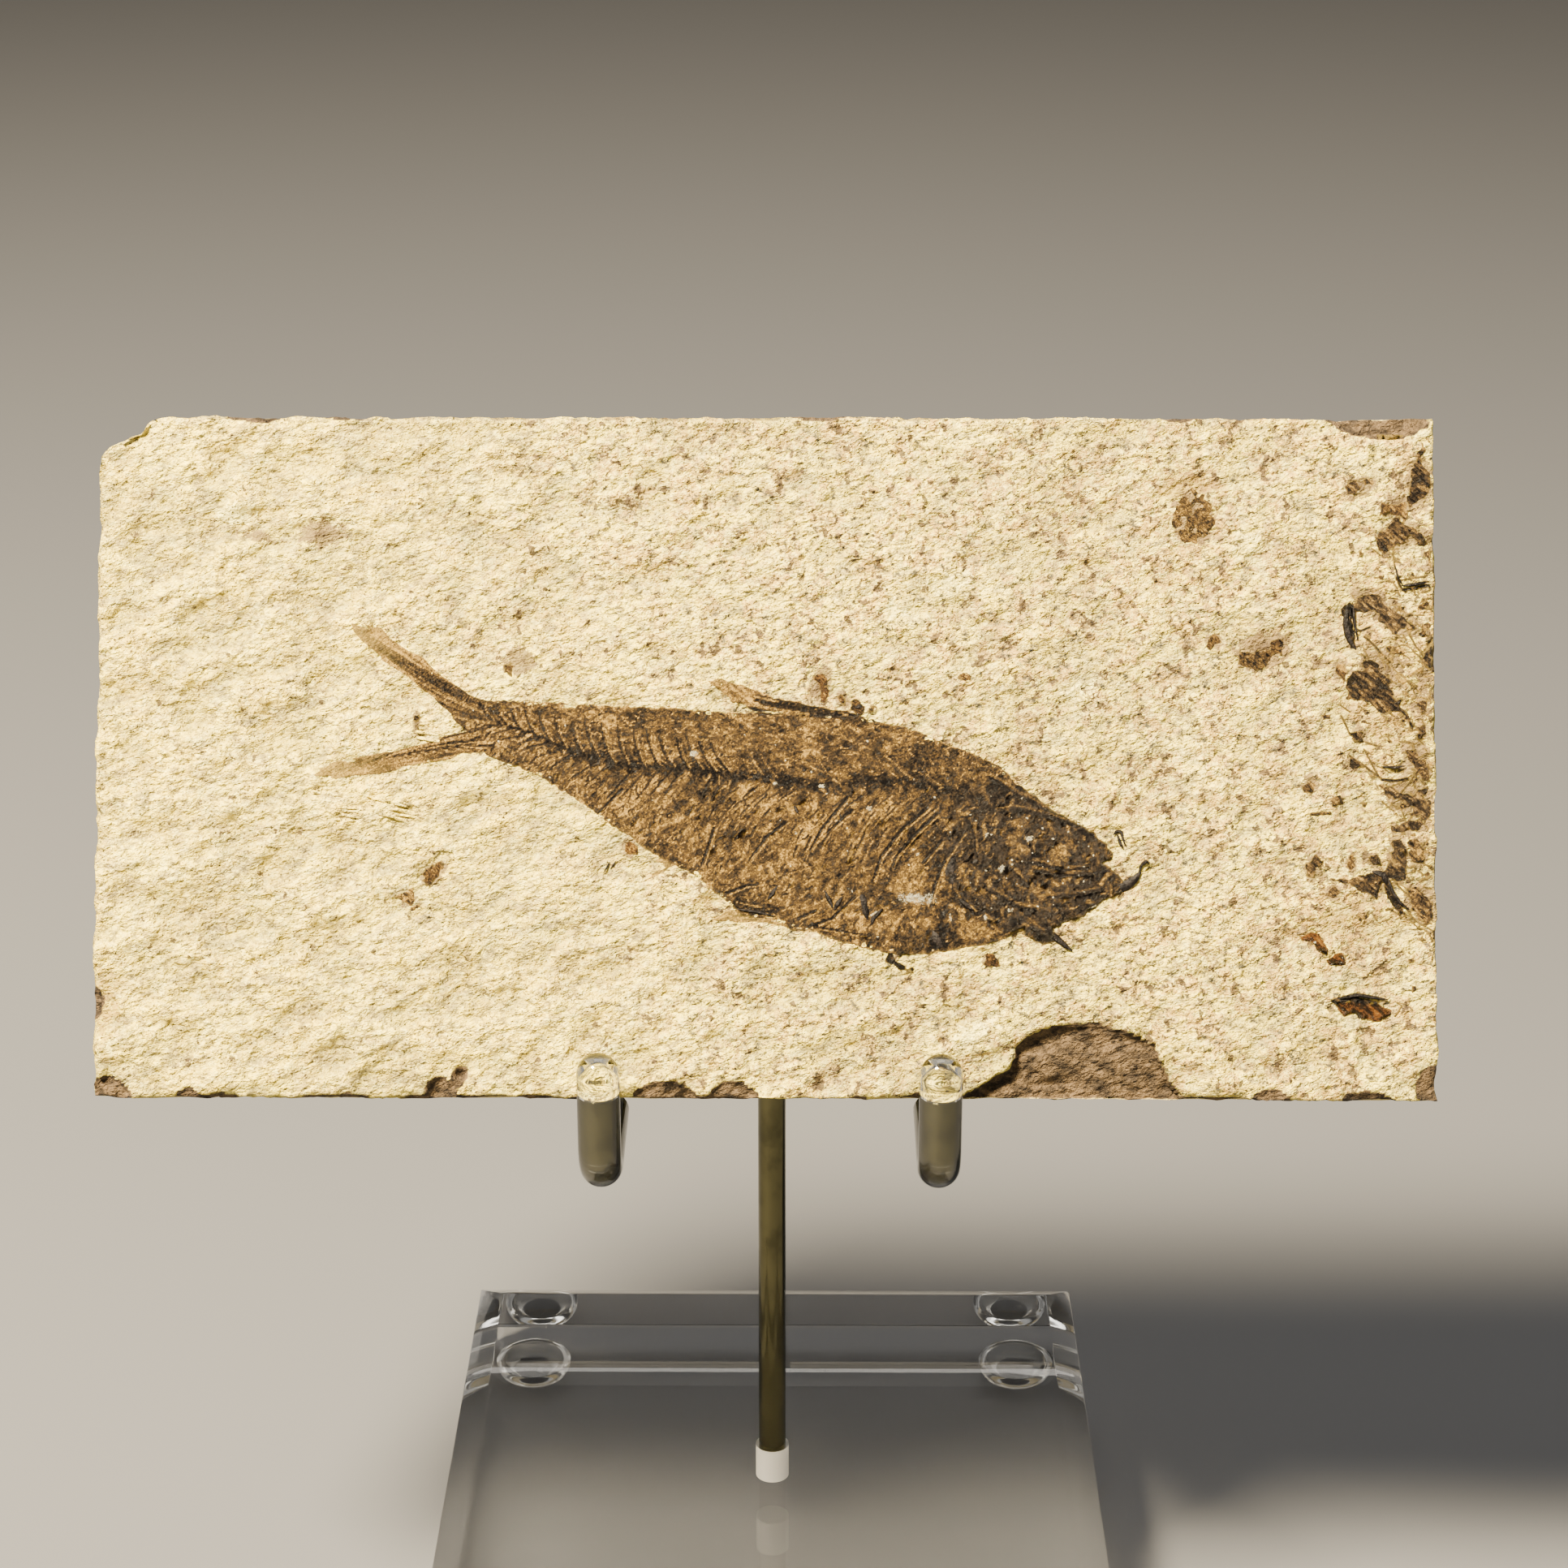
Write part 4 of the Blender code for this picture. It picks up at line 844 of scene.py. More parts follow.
def limestoneMaterial():
    material, tree = startMaterial("limestone", Roughness=0.92, Specular_IOR_Level=0.25)
    place = facePlace(tree)
    leaning = place.slanted(0.3, 1.25, 0.85)
    clouds = place.noise(*stonePatterns["clouds"])
    streaks = place.slanted(-0.3, 1.7, 0.6).noise(*stonePatterns["streaks"])
    flaky = leaning.noise(*stonePatterns["flaky"])
    gritty = leaning.noise(*stonePatterns["gritty"])
    ragged = place.noise(*stonePatterns["ragged"]) - 0.5
    drift = place.noise(*stonePatterns["drift"])
    speckledDarkRight = attributeValue(tree, "speckledDarkRight")
    brown, ochre, white = (attributeValue(tree, name + "Stain") for name in ("brown", "ochre", "white"))
    brown = brown + ragged * 1.9
    # Crumbs of brown matter lie in drifts, thickest towards the right.
    crumbs = place.noise(*stonePatterns["crumbs"]) + (speckledDarkRight * 0.10 + drift * 0.35) + ragged * 0.12
    pinpoints = speckMask(place, 0.5, clouds.remap(0.42, 0.60, 0.45, 0.12), 0.25, 0.3)
    brownish = ragged.remap(-0.1, 0.1).blend(stoneColours["brown"], stoneColours["rust"])
    crumbTone = crumbs.remap(0.90, 0.96).blend(stoneColours["rust"], brownish)
    # Fresh breaks are brown and mottled, and the slab's edges show its beds.
    fresh = flaky.remap(0.40, 0.62).blend(stoneColours["fresh"], stoneColours["freshPale"])
    beds = place.mapped(Scale=(0.05, 2.2, 0.05)).noise(*stonePatterns["beds"])
    edge = beds.remap(0.35, 0.68).blend(stoneColours["bed"], stoneColours["edge"])
    edge = gritty.remap(0.5, 0.64, 0, 0.5).blend(edge, stoneColours["silt"])
    colour = clouds.remap(0.36, 0.62).blend(stoneColours["cream"], stoneColours["pale"])
    # Laid over it in turn: mask, strength, colour.
    for mask, strength, shade in (
        (streaks.remap(0.48, 0.62), 0.62, "shade"),
        # real ochre patches, made stronger towards the right as painted shade
        ((drift + ragged).remap(0.46, 0.60) * speckledDarkRight, 0.95, "ochre"),
        (flaky.remap(0.50, 0.57), 0.6, "buff"),
        # partly real grit and partly painted shade: olive where the grain's bump sinks
        (gritty.remap(0.53, 0.605) * speckledDarkRight.remap(0.3, 0.9, 0.68, 1.0), 1.0, "oliveShade"),
        # painted highlight: white on the raised tops of the grain's bump
        (gritty.remap(0.48, 0.42), 0.65, "white"),
        # painted shade: olive darkening in the low spots of the relief
        (attributeValue(tree, "hollowShade"), 0.36, "oliveShade"),
        ((ochre + ragged * 2.6).remap(0.2, 0.9), 0.6, "stain"),
        ((white + ragged * 3.2).remap(0.45, 0.9), 0.8, "white"),
        (crumbs.remap(0.888, 0.900), 0.9, crumbTone),
        (pinpoints, 0.8, "pinpoint"),
        (brown.remap(0.34, 0.5), 0.88, "nodule"),
        (brown.remap(0.9, 1.15), 0.75, brownish),
        (attributeValue(tree, "chip").remap(0.35, 0.75), 1.0, fresh),
        (attributeValue(tree, "edgeFace"), 1.0, edge),
    ):
        colour = (mask * strength).blend(colour, stoneColours[shade] if isinstance(shade, str) else shade)
    # Small flakes have split off in steps, over a sandy grain.
    scallops = place.slanted(-0.25, 1.35, 0.85).noise(*stonePatterns["scallops"])
    height = ragged.remap(-0.06, 0.06) * 0.10 + scallops * 2.0 + flaky * 0.35 + gritty * -0.25
    return finishMaterial(material, (height, 1.0, 0.0010), Base_Color=colour)


# A film is a thin skin that lies on the stone wherever its field is positive, and is closed off inside the slab.
filmSize = {"margin": 0.4, "floor": 0.9, "sharpness": 1.4, "underside": -0.45}


def addFilm(bm, area, step, measure, thickness):
    left, right, low, high = area
    verts = uprightGrid(bm, area, round((right - left) / step), round((high - low) / step))
    places = vertPlaces(verts)
    x, y = places[:, 0], places[:, 2]
    field, rise, layers = measure(x, y)
    lift = np.clip(field * filmSize["sharpness"], filmSize["underside"], thickness)
    depth = -stoneRise(x, y) - lift - rise * easeStep(0.0, 0.3, field)
    for name, values in {"inside": field, **layers}.items():
        layer = bm.verts.layers.float[name]
        for vert, value in zip(verts, values):
            vert[layer] = value
    for vert, value in zip(verts, depth):
        vert.co.y = value
    # Points outside the film go, and then corners that touch only at a point.
    spare = [vert for vert, value in zip(verts, field) if value < -filmSize["margin"]]
    while spare:
        bmesh.ops.delete(bm, geom=spare, context="VERTS")
        verts = [vert for vert in verts if vert.is_valid]
        spare = [
            vert for vert in verts
            if sum(edge.is_boundary for edge in vert.link_edges) > 2 or not vert.link_faces
        ]
    bottom = growRing(bm, verts)
    for vert in bottom:
        vert.co.y = filmSize["floor"]
    bmesh.ops.holes_fill(bm, edges=openEdges(bottom), sides=0)


def makeFilm(name, material, nodes, films):
    bm = bmesh.new()
    for layer in ("inside", "dark", "head", "pale", "fin", "amber", "grey"):
        bm.verts.layers.float.new(layer)
    for film in films:
        addFilm(bm, *film)
    finishPiece(name, bm, [material], nodes, place=faceMatrix)


# Fish. Its noises: size in millimetres, seed, octaves, how far drawn out, turn.
fishNoises = {
    "ragged": (1.2, 201, 3), "crumbled": (0.55, 203, 3), "frayed": (0.5, 205, 2, 5.0, -0.62),
    "level": (0.45, 207, 2, 6.0, 0.14), "upperRays": (0.3, 217, 3, 11.0, -0.66),
    "lowerRays": (0.3, 218, 3, 11.0, 0.2), "blotched": (2.4, 211, 4), "grained": (0.6, 215, 3),
    "backFlow": (0.38, 241, 3, 2.2, -0.25), "bellyFlow": (0.38, 245, 3, 2.2, 0.85), "spine": (0.8, 249, 2),
    "mottled": (0.8, 221, 4), "clouded": (2.2, 225, 2), "patched": (0.5, 227, 2), "folded": (1.5, 235, 3),
    "bony": (1.0, 237, 4),
}
fishFilm = {"area": (-50.0, 42.5, 14.0, 52.4), "step": 0.135, "seed": 7, "tailRoot": (-29.0, 40.2)}


def measureFish(x, y):
    # The field of the fish's outline, how far its skin stands up, and what its material reads.
    rng = random.Random(fishFilm["seed"])
    noise = noisesAt(x, y, fishNoises)
    ragged = noise["ragged"]
    spread = np.hypot(x - fishFilm["tailRoot"][0], y - fishFilm["tailRoot"][1])
    body = insideDistance(x, y, fishShape["body"]) + (0.16 * ragged + 0.22 * noise["crumbled"])
    body = np.maximum(body, insideDistance(x, y, fishShape["spur"]))
    field = body
    for index, outline in enumerate(fishShape["fins"]):
        fray = 0.45 * noise["frayed" if index == 0 else "level"]
        fray = fray * (0.6 + 1.2 * easeStep(6.0, 19.0, spread) * (index < 2))
        field = np.maximum(field, insideDistance(x, y, outline) + 0.15 * ragged + fray)
    fins = easeStep(0.3, -0.3, body)
    rays = np.where(y > 40.0, noise["upperRays"], noise["lowerRays"])
    faded = np.where(x < -20, easeStep(10.0, 22.5, spread + 1.5 * rays), easeStep(44.0, 45.6, y) * 0.6)
    faded = fins * np.where((x > -20) & (y < 30), 0.45, faded)
    # Darkness: the body's blotches, a band along the backbone, the fins, the skull and its patches.
    spine = backboneHeight(x)
    flow = mix(noise["bellyFlow"], noise["backFlow"], easeStep(-0.6, 0.6, y - spine))
    dark = 0.40 + 0.24 * easeStep(10.0, 19.0, x) + 0.38 * noise["blotched"] + 0.40 * noise["grained"] + 0.36 * flow
    spineBand = np.exp(-(((y - spine) / 0.75) ** 2)) * easeStep(-27, -14, x) * easeStep(27, 21, x)
    dark = dark + spineBand * (0.42 + 0.5 * noise["spine"])
    dark = mix(dark, 0.14 + 0.6 * rays + 0.36 * easeStep(12.0, 1.0, spread), fins)
    skull = ovalReach(x, y, fishShape["skullMiddle"], *fishShape["skullReach"], -30)
    head = easeStep(1.12, 0.85, skull)
    dark = mix(dark, 0.70 + 0.95 * noise["mottled"] + 0.35 * noise["clouded"], head)
    for *oval, tone in fishShape["patches"]:
        share = 0.8 * easeStep(1.15, 0.7, ovalReach(x, y, *oval) + 0.45 * ragged)
        dark = mix(dark, tone + 0.25 * noise["patched"], share)
    # Rumpled skin with short folds that lie along the body, swelling over the skull.
    folds = 0.13 * flow + 0.20 * noise["folded"] + 0.24 * head * noise["bony"]
    rise = 0.40 * np.sqrt(np.clip(1 - skull ** 2, 0, 1)) + folds * (1 - 0.8 * fins)
    bones = np.zeros(x.shape)
    strokes = itertools.chain(flecks(rng), finRays(rng), skullBones(rng), backboneBones(rng), ribBones(rng))
    drawBones(strokes, x, y, bones, dark)
    pale = np.zeros(x.shape)
    for oval in fishShape["minerals"]:
        halfHeight = oval[2]
        reach = ovalReach(x, y, *oval) + 0.5 * ragged * (halfHeight > 0.35)
        pale = np.maximum(pale, np.clip(1.6 - reach, 0, 1))
    eye = ovalReach(x, y, fishShape["patches"][0][0], 1.0, 0.85, 0)
    rise = rise + bones - 0.12 * easeStep(1.0, 0.4, eye) + 0.08 * pale
    return field, rise, {"dark": dark, "head": head, "pale": pale, "fin": faded}


def makeFish(material):
    film = (fishFilm["area"], fishFilm["step"], measureFish, fishShape["film"])
    makeFilm("fossilFish", material, ["fossil_fish"], [film])


# Scraps of a second fish at the right edge: kind, outline.
scraps = [
    ("brown", [
        (62.2, 65.9), (62.6, 66.4), (63.3, 66.5), (63.8, 66.0), (64.2, 66.2), (64.5, 66.9), (65.0, 66.8),
        (65.7, 66.0), (64.7, 66.1), (64.1, 65.9), (63.6, 65.5), (63.3, 65.0), (62.5, 64.9), (62.3, 65.2),
    ]),
    ("dark", [
        (70.6, 70.8), (71.0, 69.9), (70.6, 69.2), (71.4, 69.3), (70.6, 68.6), (70.7, 68.1), (71.5, 67.8),
        (71.5, 66.5), (71.3, 65.1), (70.6, 64.7), (70.0, 64.2), (69.6, 64.0), (69.3, 63.3), (69.0, 63.5),
        (69.0, 64.9), (69.4, 66.1), (69.3, 67.7), (69.9, 68.5), (70.0, 69.4), (70.4, 70.1),
    ]),
    ("ochre", [
        (66.0, 64.5), (66.5, 64.2), (67.2, 64.0), (67.9, 64.0), (68.8, 64.4), (69.1, 64.0), (69.0, 63.1),
        (68.8, 62.2), (68.6, 61.7), (68.4, 62.7), (67.7, 62.7), (67.0, 63.3), (66.5, 62.9), (66.0, 62.8),
    ]),
    ("brown", [
        (65.5, 60.4), (65.8, 60.9), (66.6, 61.4), (67.3, 62.0), (67.3, 62.7), (68.2, 62.8), (68.4, 62.0),
        (69.1, 61.7), (69.8, 61.4), (70.5, 60.9), (71.0, 60.4), (71.2, 59.7), (70.9, 59.3), (70.3, 59.5),
        (69.8, 60.2), (69.3, 60.6), (68.9, 60.1), (68.4, 59.7), (67.9, 59.7), (67.5, 59.3), (66.9, 59.0),
        (66.4, 58.6), (65.9, 59.0), (65.5, 59.5),
    ]),
    ("brown", [(70.8, 59.0), (71.4, 59.3), (71.7, 58.6), (71.2, 58.2), (70.8, 58.4)]),
    ("black", [
        (62.0, 53.3), (62.7, 53.5), (63.1, 53.1), (63.2, 51.8), (63.1, 50.6), (63.4, 49.7), (63.4, 48.6),
        (62.9, 48.5), (62.5, 49.3), (62.1, 50.8), (62.0, 52.2),
    ]),
    ("grey", [
        (63.1, 53.2), (63.6, 54.1), (64.4, 54.3), (65.3, 54.4), (66.0, 54.2), (66.5, 53.3), (67.5, 52.6),
        (68.5, 51.8), (69.4, 50.9), (68.7, 50.9), (68.1, 50.4), (67.8, 49.9), (67.3, 50.1), (66.7, 50.8),
        (66.0, 51.3), (65.7, 52.2), (65.1, 52.6), (64.4, 52.2), (63.7, 52.4), (63.3, 52.7),
    ]),
    ("black", [(69.9, 50.2), (70.6, 50.4), (71.2, 49.8), (70.5, 49.6)]),
    ("brown", [(69.6, 51.5), (70.3, 51.0), (71.2, 51.3), (71.4, 51.7), (71.4, 50.8), (70.5, 50.6)]),
    ("grey", [(71.9, 49.3), (71.2, 48.5), (70.4, 47.2), (71.3, 46.4), (71.9, 46.3)]),
    ("dark", [
        (64.1, 46.2), (64.1, 47.0), (64.9, 47.6), (65.7, 47.0), (66.0, 46.0), (66.5, 45.6), (67.4, 45.3),
        (67.1, 44.7), (67.6, 43.2), (67.8, 42.6), (66.9, 42.6), (65.6, 42.8), (64.0, 43.0), (62.4, 43.1),
        (62.4, 45.2), (63.0, 46.0),
    ]),
    ("ochre", [(60.9, 46.0), (61.2, 46.6), (62.1, 46.9), (62.4, 46.1), (62.1, 44.9), (61.6, 45.4)]),
    ("brown", [
        (62.6, 43.1), (64.0, 42.9), (64.9, 42.5), (66.3, 41.4), (66.9, 41.8), (68.1, 41.6), (69.0, 40.7),
        (69.5, 39.7), (69.2, 41.3), (67.9, 42.5), (66.9, 43.2),
    ]),
    ("brown", [(69.9, 42.7), (70.8, 42.9), (71.0, 41.8), (70.3, 41.3)]),
    ("brown", [(69.8, 40.2), (70.8, 40.3), (70.9, 39.4), (70.1, 38.8)]),
    ("dark", [(62.7, 39.4), (63.4, 39.7), (64.1, 39.4), (64.4, 38.4), (63.7, 38.4), (63.1, 38.8)]),
    ("dark", [(63.3, 40.8), (64.2, 40.9), (65.1, 40.5), (64.2, 40.4)]),
    ("dark", [(62.5, 36.7), (63.0, 36.8), (63.7, 36.0), (63.3, 35.4), (62.6, 35.7)]),
    ("brown", [
        (68.4, 37.8), (69.4, 37.7), (70.1, 36.8), (70.8, 36.6), (71.0, 35.4), (71.2, 34.5), (70.3, 34.3),
        (69.9, 35.0), (69.8, 33.8), (69.5, 35.2), (69.2, 36.3),
    ]),
    ("grey", [
        (66.2, 33.6), (67.1, 33.8), (67.8, 33.1), (69.4, 32.7), (70.1, 33.6), (71.0, 33.5), (70.5, 32.6),
        (71.4, 32.2), (71.3, 31.1), (70.7, 29.7), (70.3, 30.4), (69.6, 30.6), (69.4, 31.5), (68.5, 32.0),
        (67.3, 32.2), (66.4, 32.7),
    ]),
    ("grey", [
        (66.9, 29.7), (67.5, 29.3), (68.9, 30.2), (70.1, 30.0), (70.7, 29.7), (69.8, 29.0), (68.7, 28.9),
        (67.8, 28.5), (67.1, 29.0),
    ]),
    ("grey", [
        (67.1, 27.9), (68.0, 28.1), (68.6, 27.2), (68.8, 25.4), (68.7, 23.8), (67.7, 23.6), (66.6, 23.8),
        (66.2, 24.3), (66.8, 25.4), (67.2, 26.8),
    ]),
    ("black", [
        (66.2, 23.8), (67.1, 23.4), (67.3, 22.0), (68.0, 20.9), (68.6, 20.0), (67.9, 20.0), (67.0, 20.9),
        (66.4, 22.2),
    ]),
    ("brown", [(68.7, 27.7), (69.8, 28.1), (70.7, 26.8), (70.5, 25.6), (69.3, 25.4), (68.9, 26.3)]),
    ("brown", [(68.6, 22.7), (69.8, 22.9), (70.9, 22.0), (71.6, 20.4), (71.1, 19.1), (70.0, 19.5), (69.1, 20.6)]),
    ("dark", [
        (60.5, 23.7), (61.6, 23.9), (62.5, 23.8), (64.3, 24.3), (65.7, 24.7), (66.3, 24.0), (65.9, 22.7),
        (65.5, 21.5), (64.8, 22.0), (63.7, 22.4), (62.5, 23.1), (61.4, 23.3),
    ]),
    ("brown", [(60.3, 22.9), (61.2, 23.3), (61.5, 22.4), (60.7, 21.6), (60.1, 22.2)]),
    ("ochre", [(62.4, 26.3), (63.2, 26.5), (63.0, 24.9), (62.5, 24.3)]),
    ("brown", [(64.6, 26.0), (65.5, 26.5), (65.9, 25.4), (65.0, 25.2)]),
    ("brown", [(57.8, 25.2), (59.1, 26.3), (59.8, 25.6), (59.0, 24.9), (58.4, 23.6), (57.9, 23.8)]),
    ("brown", [(60.5, 32.2), (61.7, 32.7), (62.0, 32.0), (61.2, 31.6), (60.6, 31.4)]),
    ("brown", [(57.4, 33.6), (58.3, 34.6), (59.2, 34.0), (58.7, 33.1), (57.8, 33.1)]),
    ("brown", [(59.4, 41.1), (60.1, 41.8), (60.6, 41.1), (59.9, 40.6)]),
    ("amber", [
        (57.2, 17.4), (58.4, 18.2), (59.4, 18.1), (60.0, 17.0), (60.4, 16.2), (60.1, 15.4), (59.3, 15.9),
        (58.4, 17.0),
    ]),
    ("amber", [(60.1, 15.1), (60.9, 15.6), (61.8, 16.1), (62.1, 14.6), (61.1, 14.3), (60.4, 14.5)]),
    ("amber", [
        (60.6, 10.4), (62.9, 10.8), (64.5, 10.7), (65.7, 10.4), (67.2, 9.8), (67.0, 9.3), (65.8, 8.5), (64.5, 8.7),
        (62.9, 9.3), (62.0, 9.1), (61.1, 9.9),
    ]),
    ("black", [
        (60.2, 10.7), (61.6, 11.3), (62.9, 11.2), (64.5, 10.9), (65.7, 10.6), (64.5, 10.4), (62.5, 10.6),
        (60.9, 10.3),
    ]),
    ("brown", [(67.9, 19.3), (68.3, 18.4), (67.6, 18.6)]),
]
# Thin bones among them: line, half width, darkness.
scrapLines = [
    ([(67.5, 59.5), (67.5, 58.3), (67.6, 57.0)], 0.1, 1), ([(67.5, 58.0), (68.3, 57.7)], 0.1, 1),
    ([(67.7, 56.1), (68.2, 55.1), (68.7, 54.6)], 0.16, 1),
    ([(68.4, 54.8), (69.8, 55.0), (71.2, 55.3), (71.5, 54.9)], 0.2, 1),
    ([(67.7, 55.8), (69.4, 56.0), (70.9, 56.3)], 0.1, 0.7), ([(70.5, 53.8), (71.6, 53.9)], 0.12, 0.8),
    ([(70.3, 52.9), (71.2, 52.7)], 0.12, 0.8), ([(63.3, 50.6), (63.9, 50.4), (64.9, 50.8)], 0.16, 1),
    ([(64.3, 49.8), (65.3, 48.9), (66.2, 47.9), (67.0, 47.1)], 0.16, 0.6),
    ([(69.0, 50.1), (69.7, 48.8), (70.4, 47.9)], 0.12, 0.6), ([(67.4, 48.5), (68.5, 49.0), (69.6, 48.3)], 0.1, 0.5),
    ([(65.8, 47.7), (68.7, 45.3), (70.4, 43.7)], 0.1, 0.4), ([(61.8, 41.3), (62.3, 40.2), (62.7, 39.2)], 0.13, 1),
    ([(61.7, 42.5), (62.7, 41.7)], 0.12, 0.6), ([(64.4, 38.4), (65.8, 38.0)], 0.12, 0.9),
    ([(64.2, 37.7), (64.9, 36.3), (65.8, 34.7), (66.2, 34.4)], 0.13, 0.8),
    ([(62.6, 37.0), (64.6, 35.6), (66.2, 34.4)], 0.14, 0.6), ([(66.1, 34.4), (67.6, 34.3), (68.7, 34.5)], 0.2, 1),
    ([(68.6, 20.0), (70.4, 18.8), (71.9, 18.0)], 0.1, 0.9), ([(67.3, 9.1), (68.1, 10.2), (67.4, 10.7)], 0.1, 0.6),
    ([(58.5, 30.7), (60.5, 30.8)], 0.2, 0.5), ([(70.1, 35.6), (68.9, 34.0), (67.8, 32.5)], 0.12, 0.7),
    ([(66.2, 33.4), (68.0, 34.0), (69.9, 35.4)], 0.1, 0.7), ([(70.5, 22.9), (71.8, 22.7)], 0.12, 1),
    ([(69.8, 22.0), (70.7, 21.8), (71.8, 20.2)], 0.12, 0.7),
]
# Darkness, amber, grey and height of each kind.
scrapTones = {
    "brown": (0.46, 0.05, 0.25, 0.12), "dark": (0.66, 0.05, 0.3, 0.2), "ochre": (0.24, 0.16, 0.1, 0.06),
    "black": (0.98, 0.0, 0.1, 0.35), "grey": (0.52, 0.0, 0.4, 0.18), "amber": (0.6, 0.9, 0.0, 0.3),
}
scrapNoises = {
    "ragged": (0.6, 301, 4), "toned": (0.6, 305, 3), "fibrous": (0.26, 307, 2, 4.5, -0.7), "crumbled": (1.1, 341, 4),
    "clouded": (1.7, 347, 2),
}
scrapFilm = {"area": (56.0, 71.9, 8.0, 71.6), "step": 0.135, "thickness": 0.06, "seed": 31, "splinters": 260}


def scrapStrokes(rng):
    for line, width, dark in scrapLines:
        yield line, width, width * 0.7, 0.18, dark
    # Splinters lie mostly one way.
    for index in range(scrapFilm["splinters"]):
        start = (rng.triangular(62.5, 71.4, 70.2), rng.uniform(18.0, 60.0))
        degrees = rng.gauss(-42, 16) if rng.random() < 0.7 else rng.gauss(8, 14)
        width = rng.uniform(0.05, 0.12)
        line = headingLine(start, degrees, rng.uniform(0.3, 1.7), rng.uniform(-0.08, 0.08))
        yield line, width, width * 0.4, 0.12, rng.choice((0.1, 0.3, 0.5, 0.7, 0.9))


def measureScraps(x, y):
    noise = noisesAt(x, y, scrapNoises)
    ragged = noise["ragged"]
    tone = 0.25 * noise["toned"] + 0.75 * noise["fibrous"]
    field, dark = np.full(x.shape, -1.0), np.full(x.shape, 0.6)
    rise, amber, grey = (np.zeros(x.shape) for layer in range(3))
    for kind, outline in scraps:
        shade, warm, cold, height = scrapTones[kind]
        reach = insideDistance(x, y, outline) + 0.34 * ragged
        field = np.maximum(field, reach)
        share = easeStep(-0.05, 0.08, reach)
        dark, amber, grey = mix(dark, shade + tone, share), mix(amber, warm, share), mix(grey, cold, share)
        rise = np.maximum(rise, height * easeStep(0.0, 0.6, reach))
    # Crumbs of scale, thickest along the very edge.
    scarce = 0.30 + 0.036 * (71.0 - x) + 0.012 * np.clip(np.abs(y - 40.0) - 18.0, 0, 20)
    crumbs = 0.8 * (noise["crumbled"] + 0.25 * ragged - scarce)
    field = np.maximum(field, crumbs)
    dark = mix(dark, 0.45 + 0.5 * noise["clouded"] + tone, easeStep(-0.05, 0.05, crumbs))
    strokes = list(scrapStrokes(random.Random(scrapFilm["seed"])))
    for line, wide, *others in strokes:
        near = nearLine(x, y, line, 1.0)
        field[near] = np.maximum(field[near], wide - followLine(x[near], y[near], line)[0])
    drawBones(strokes, x, y, rise, dark)
    field = np.minimum(field, slabPlace["width"] / 2 - 0.5 - x)
    return field, rise + 0.05 * ragged + 0.12 * tone, {"dark": dark, "amber": amber, "grey": grey}


# Loose scales: middle, half width, half height, turn in degrees, darkness, amber, height.
looseScales = [
    ((46.0, 62.4), 1.9, 2.6, 12, 0.45, 0.0, 0.05), ((52.6, 47.4), 1.8, 1.2, 15, 0.5, 0.0, 0.05),
    ((55.0, 49.0), 1.2, 1.0, 40, 0.5, 0.1, 0.05), ((48.2, 49.4), 0.9, 0.7, 0, 0.5, 0.1, 0.05),
    ((5.6, 45.2), 0.7, 1.3, 25, 0.45, 0.35, 0.07), ((6.4, 43.6), 0.5, 0.7, 0, 0.45, 0.3, 0.06),
    ((8.3, 42.7), 0.5, 1.0, 10, 0.5, 0.2, 0.08), ((-35.6, 24.1), 1.7, 0.6, 42, 0.5, 0.15, 0.08),
    ((-38.2, 21.4), 0.75, 0.95, 20, 0.3, 0.0, 0.06), ((-37.5, 40.9), 0.3, 0.45, 0, 0.75, 0.1, 0.05),
    ((-37.3, 39.6), 0.35, 0.35, 0, 0.75, 0.1, 0.05), ((-14.6, 26.9), 0.6, 0.8, 20, 0.35, 0.4, 0.06),
    ((24.1, 15.0), 0.85, 0.65, -20, 0.62, 0.3, 0.1), ((13.9, 14.6), 1.9, 0.6, -22, 1.0, 0.0, 0.2),
    ((21.6, 45.4), 0.5, 0.5, 0, 0.45, 0.2, 0.04), ((-27.2, 45.9), 0.55, 0.6, 20, 0.55, 0.1, 0.06),
    ((10.3, 42.0), 1.0, 0.55, -15, 0.7, 0.1, 0.2),
]


def measureScales(x, y):
    ragged = fractalNoise(x, y, 0.9, 321, 3)
    field, dark = np.full(x.shape, -1.0), np.full(x.shape, 0.5)
    rise, amber = np.zeros(x.shape), np.zeros(x.shape)
    for *oval, shade, warm, height in looseScales:
        small = min(oval[1:3])
        reach = (1 - ovalReach(x, y, *oval)) * small * 0.8 + 0.9 * small ** 0.5 * ragged
        field = np.maximum(field, np.minimum(reach, 0.25 + 1.2 * ragged * (small > 1) + (small <= 1)))
        share = easeStep(-0.2, 0.0, reach)
        dark = mix(dark, shade + 0.4 * fractalNoise(x, y, 0.5, 325, 3), share)
        amber = mix(amber, warm, share)
        rise = np.maximum(rise, height * easeStep(0.0, 0.5, reach))
    return field, rise, {"dark": dark, "amber": amber}


def makeScraps(material):
    nodes = [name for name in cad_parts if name.startswith("stray_bone")]
    film = (scrapFilm["area"], scrapFilm["step"], measureScraps, scrapFilm["thickness"])
    makeFilm("strayBones", material, nodes, [film])
    films = []
    for (x, y), halfWidth, halfHeight, *others in looseScales:
        reach = max(halfWidth, halfHeight) + 0.9
        films.append(((x - reach, x + reach, y - reach, y + reach), 0.15, measureScales, 0.05))
    makeFilm("looseScales", material, [], films)


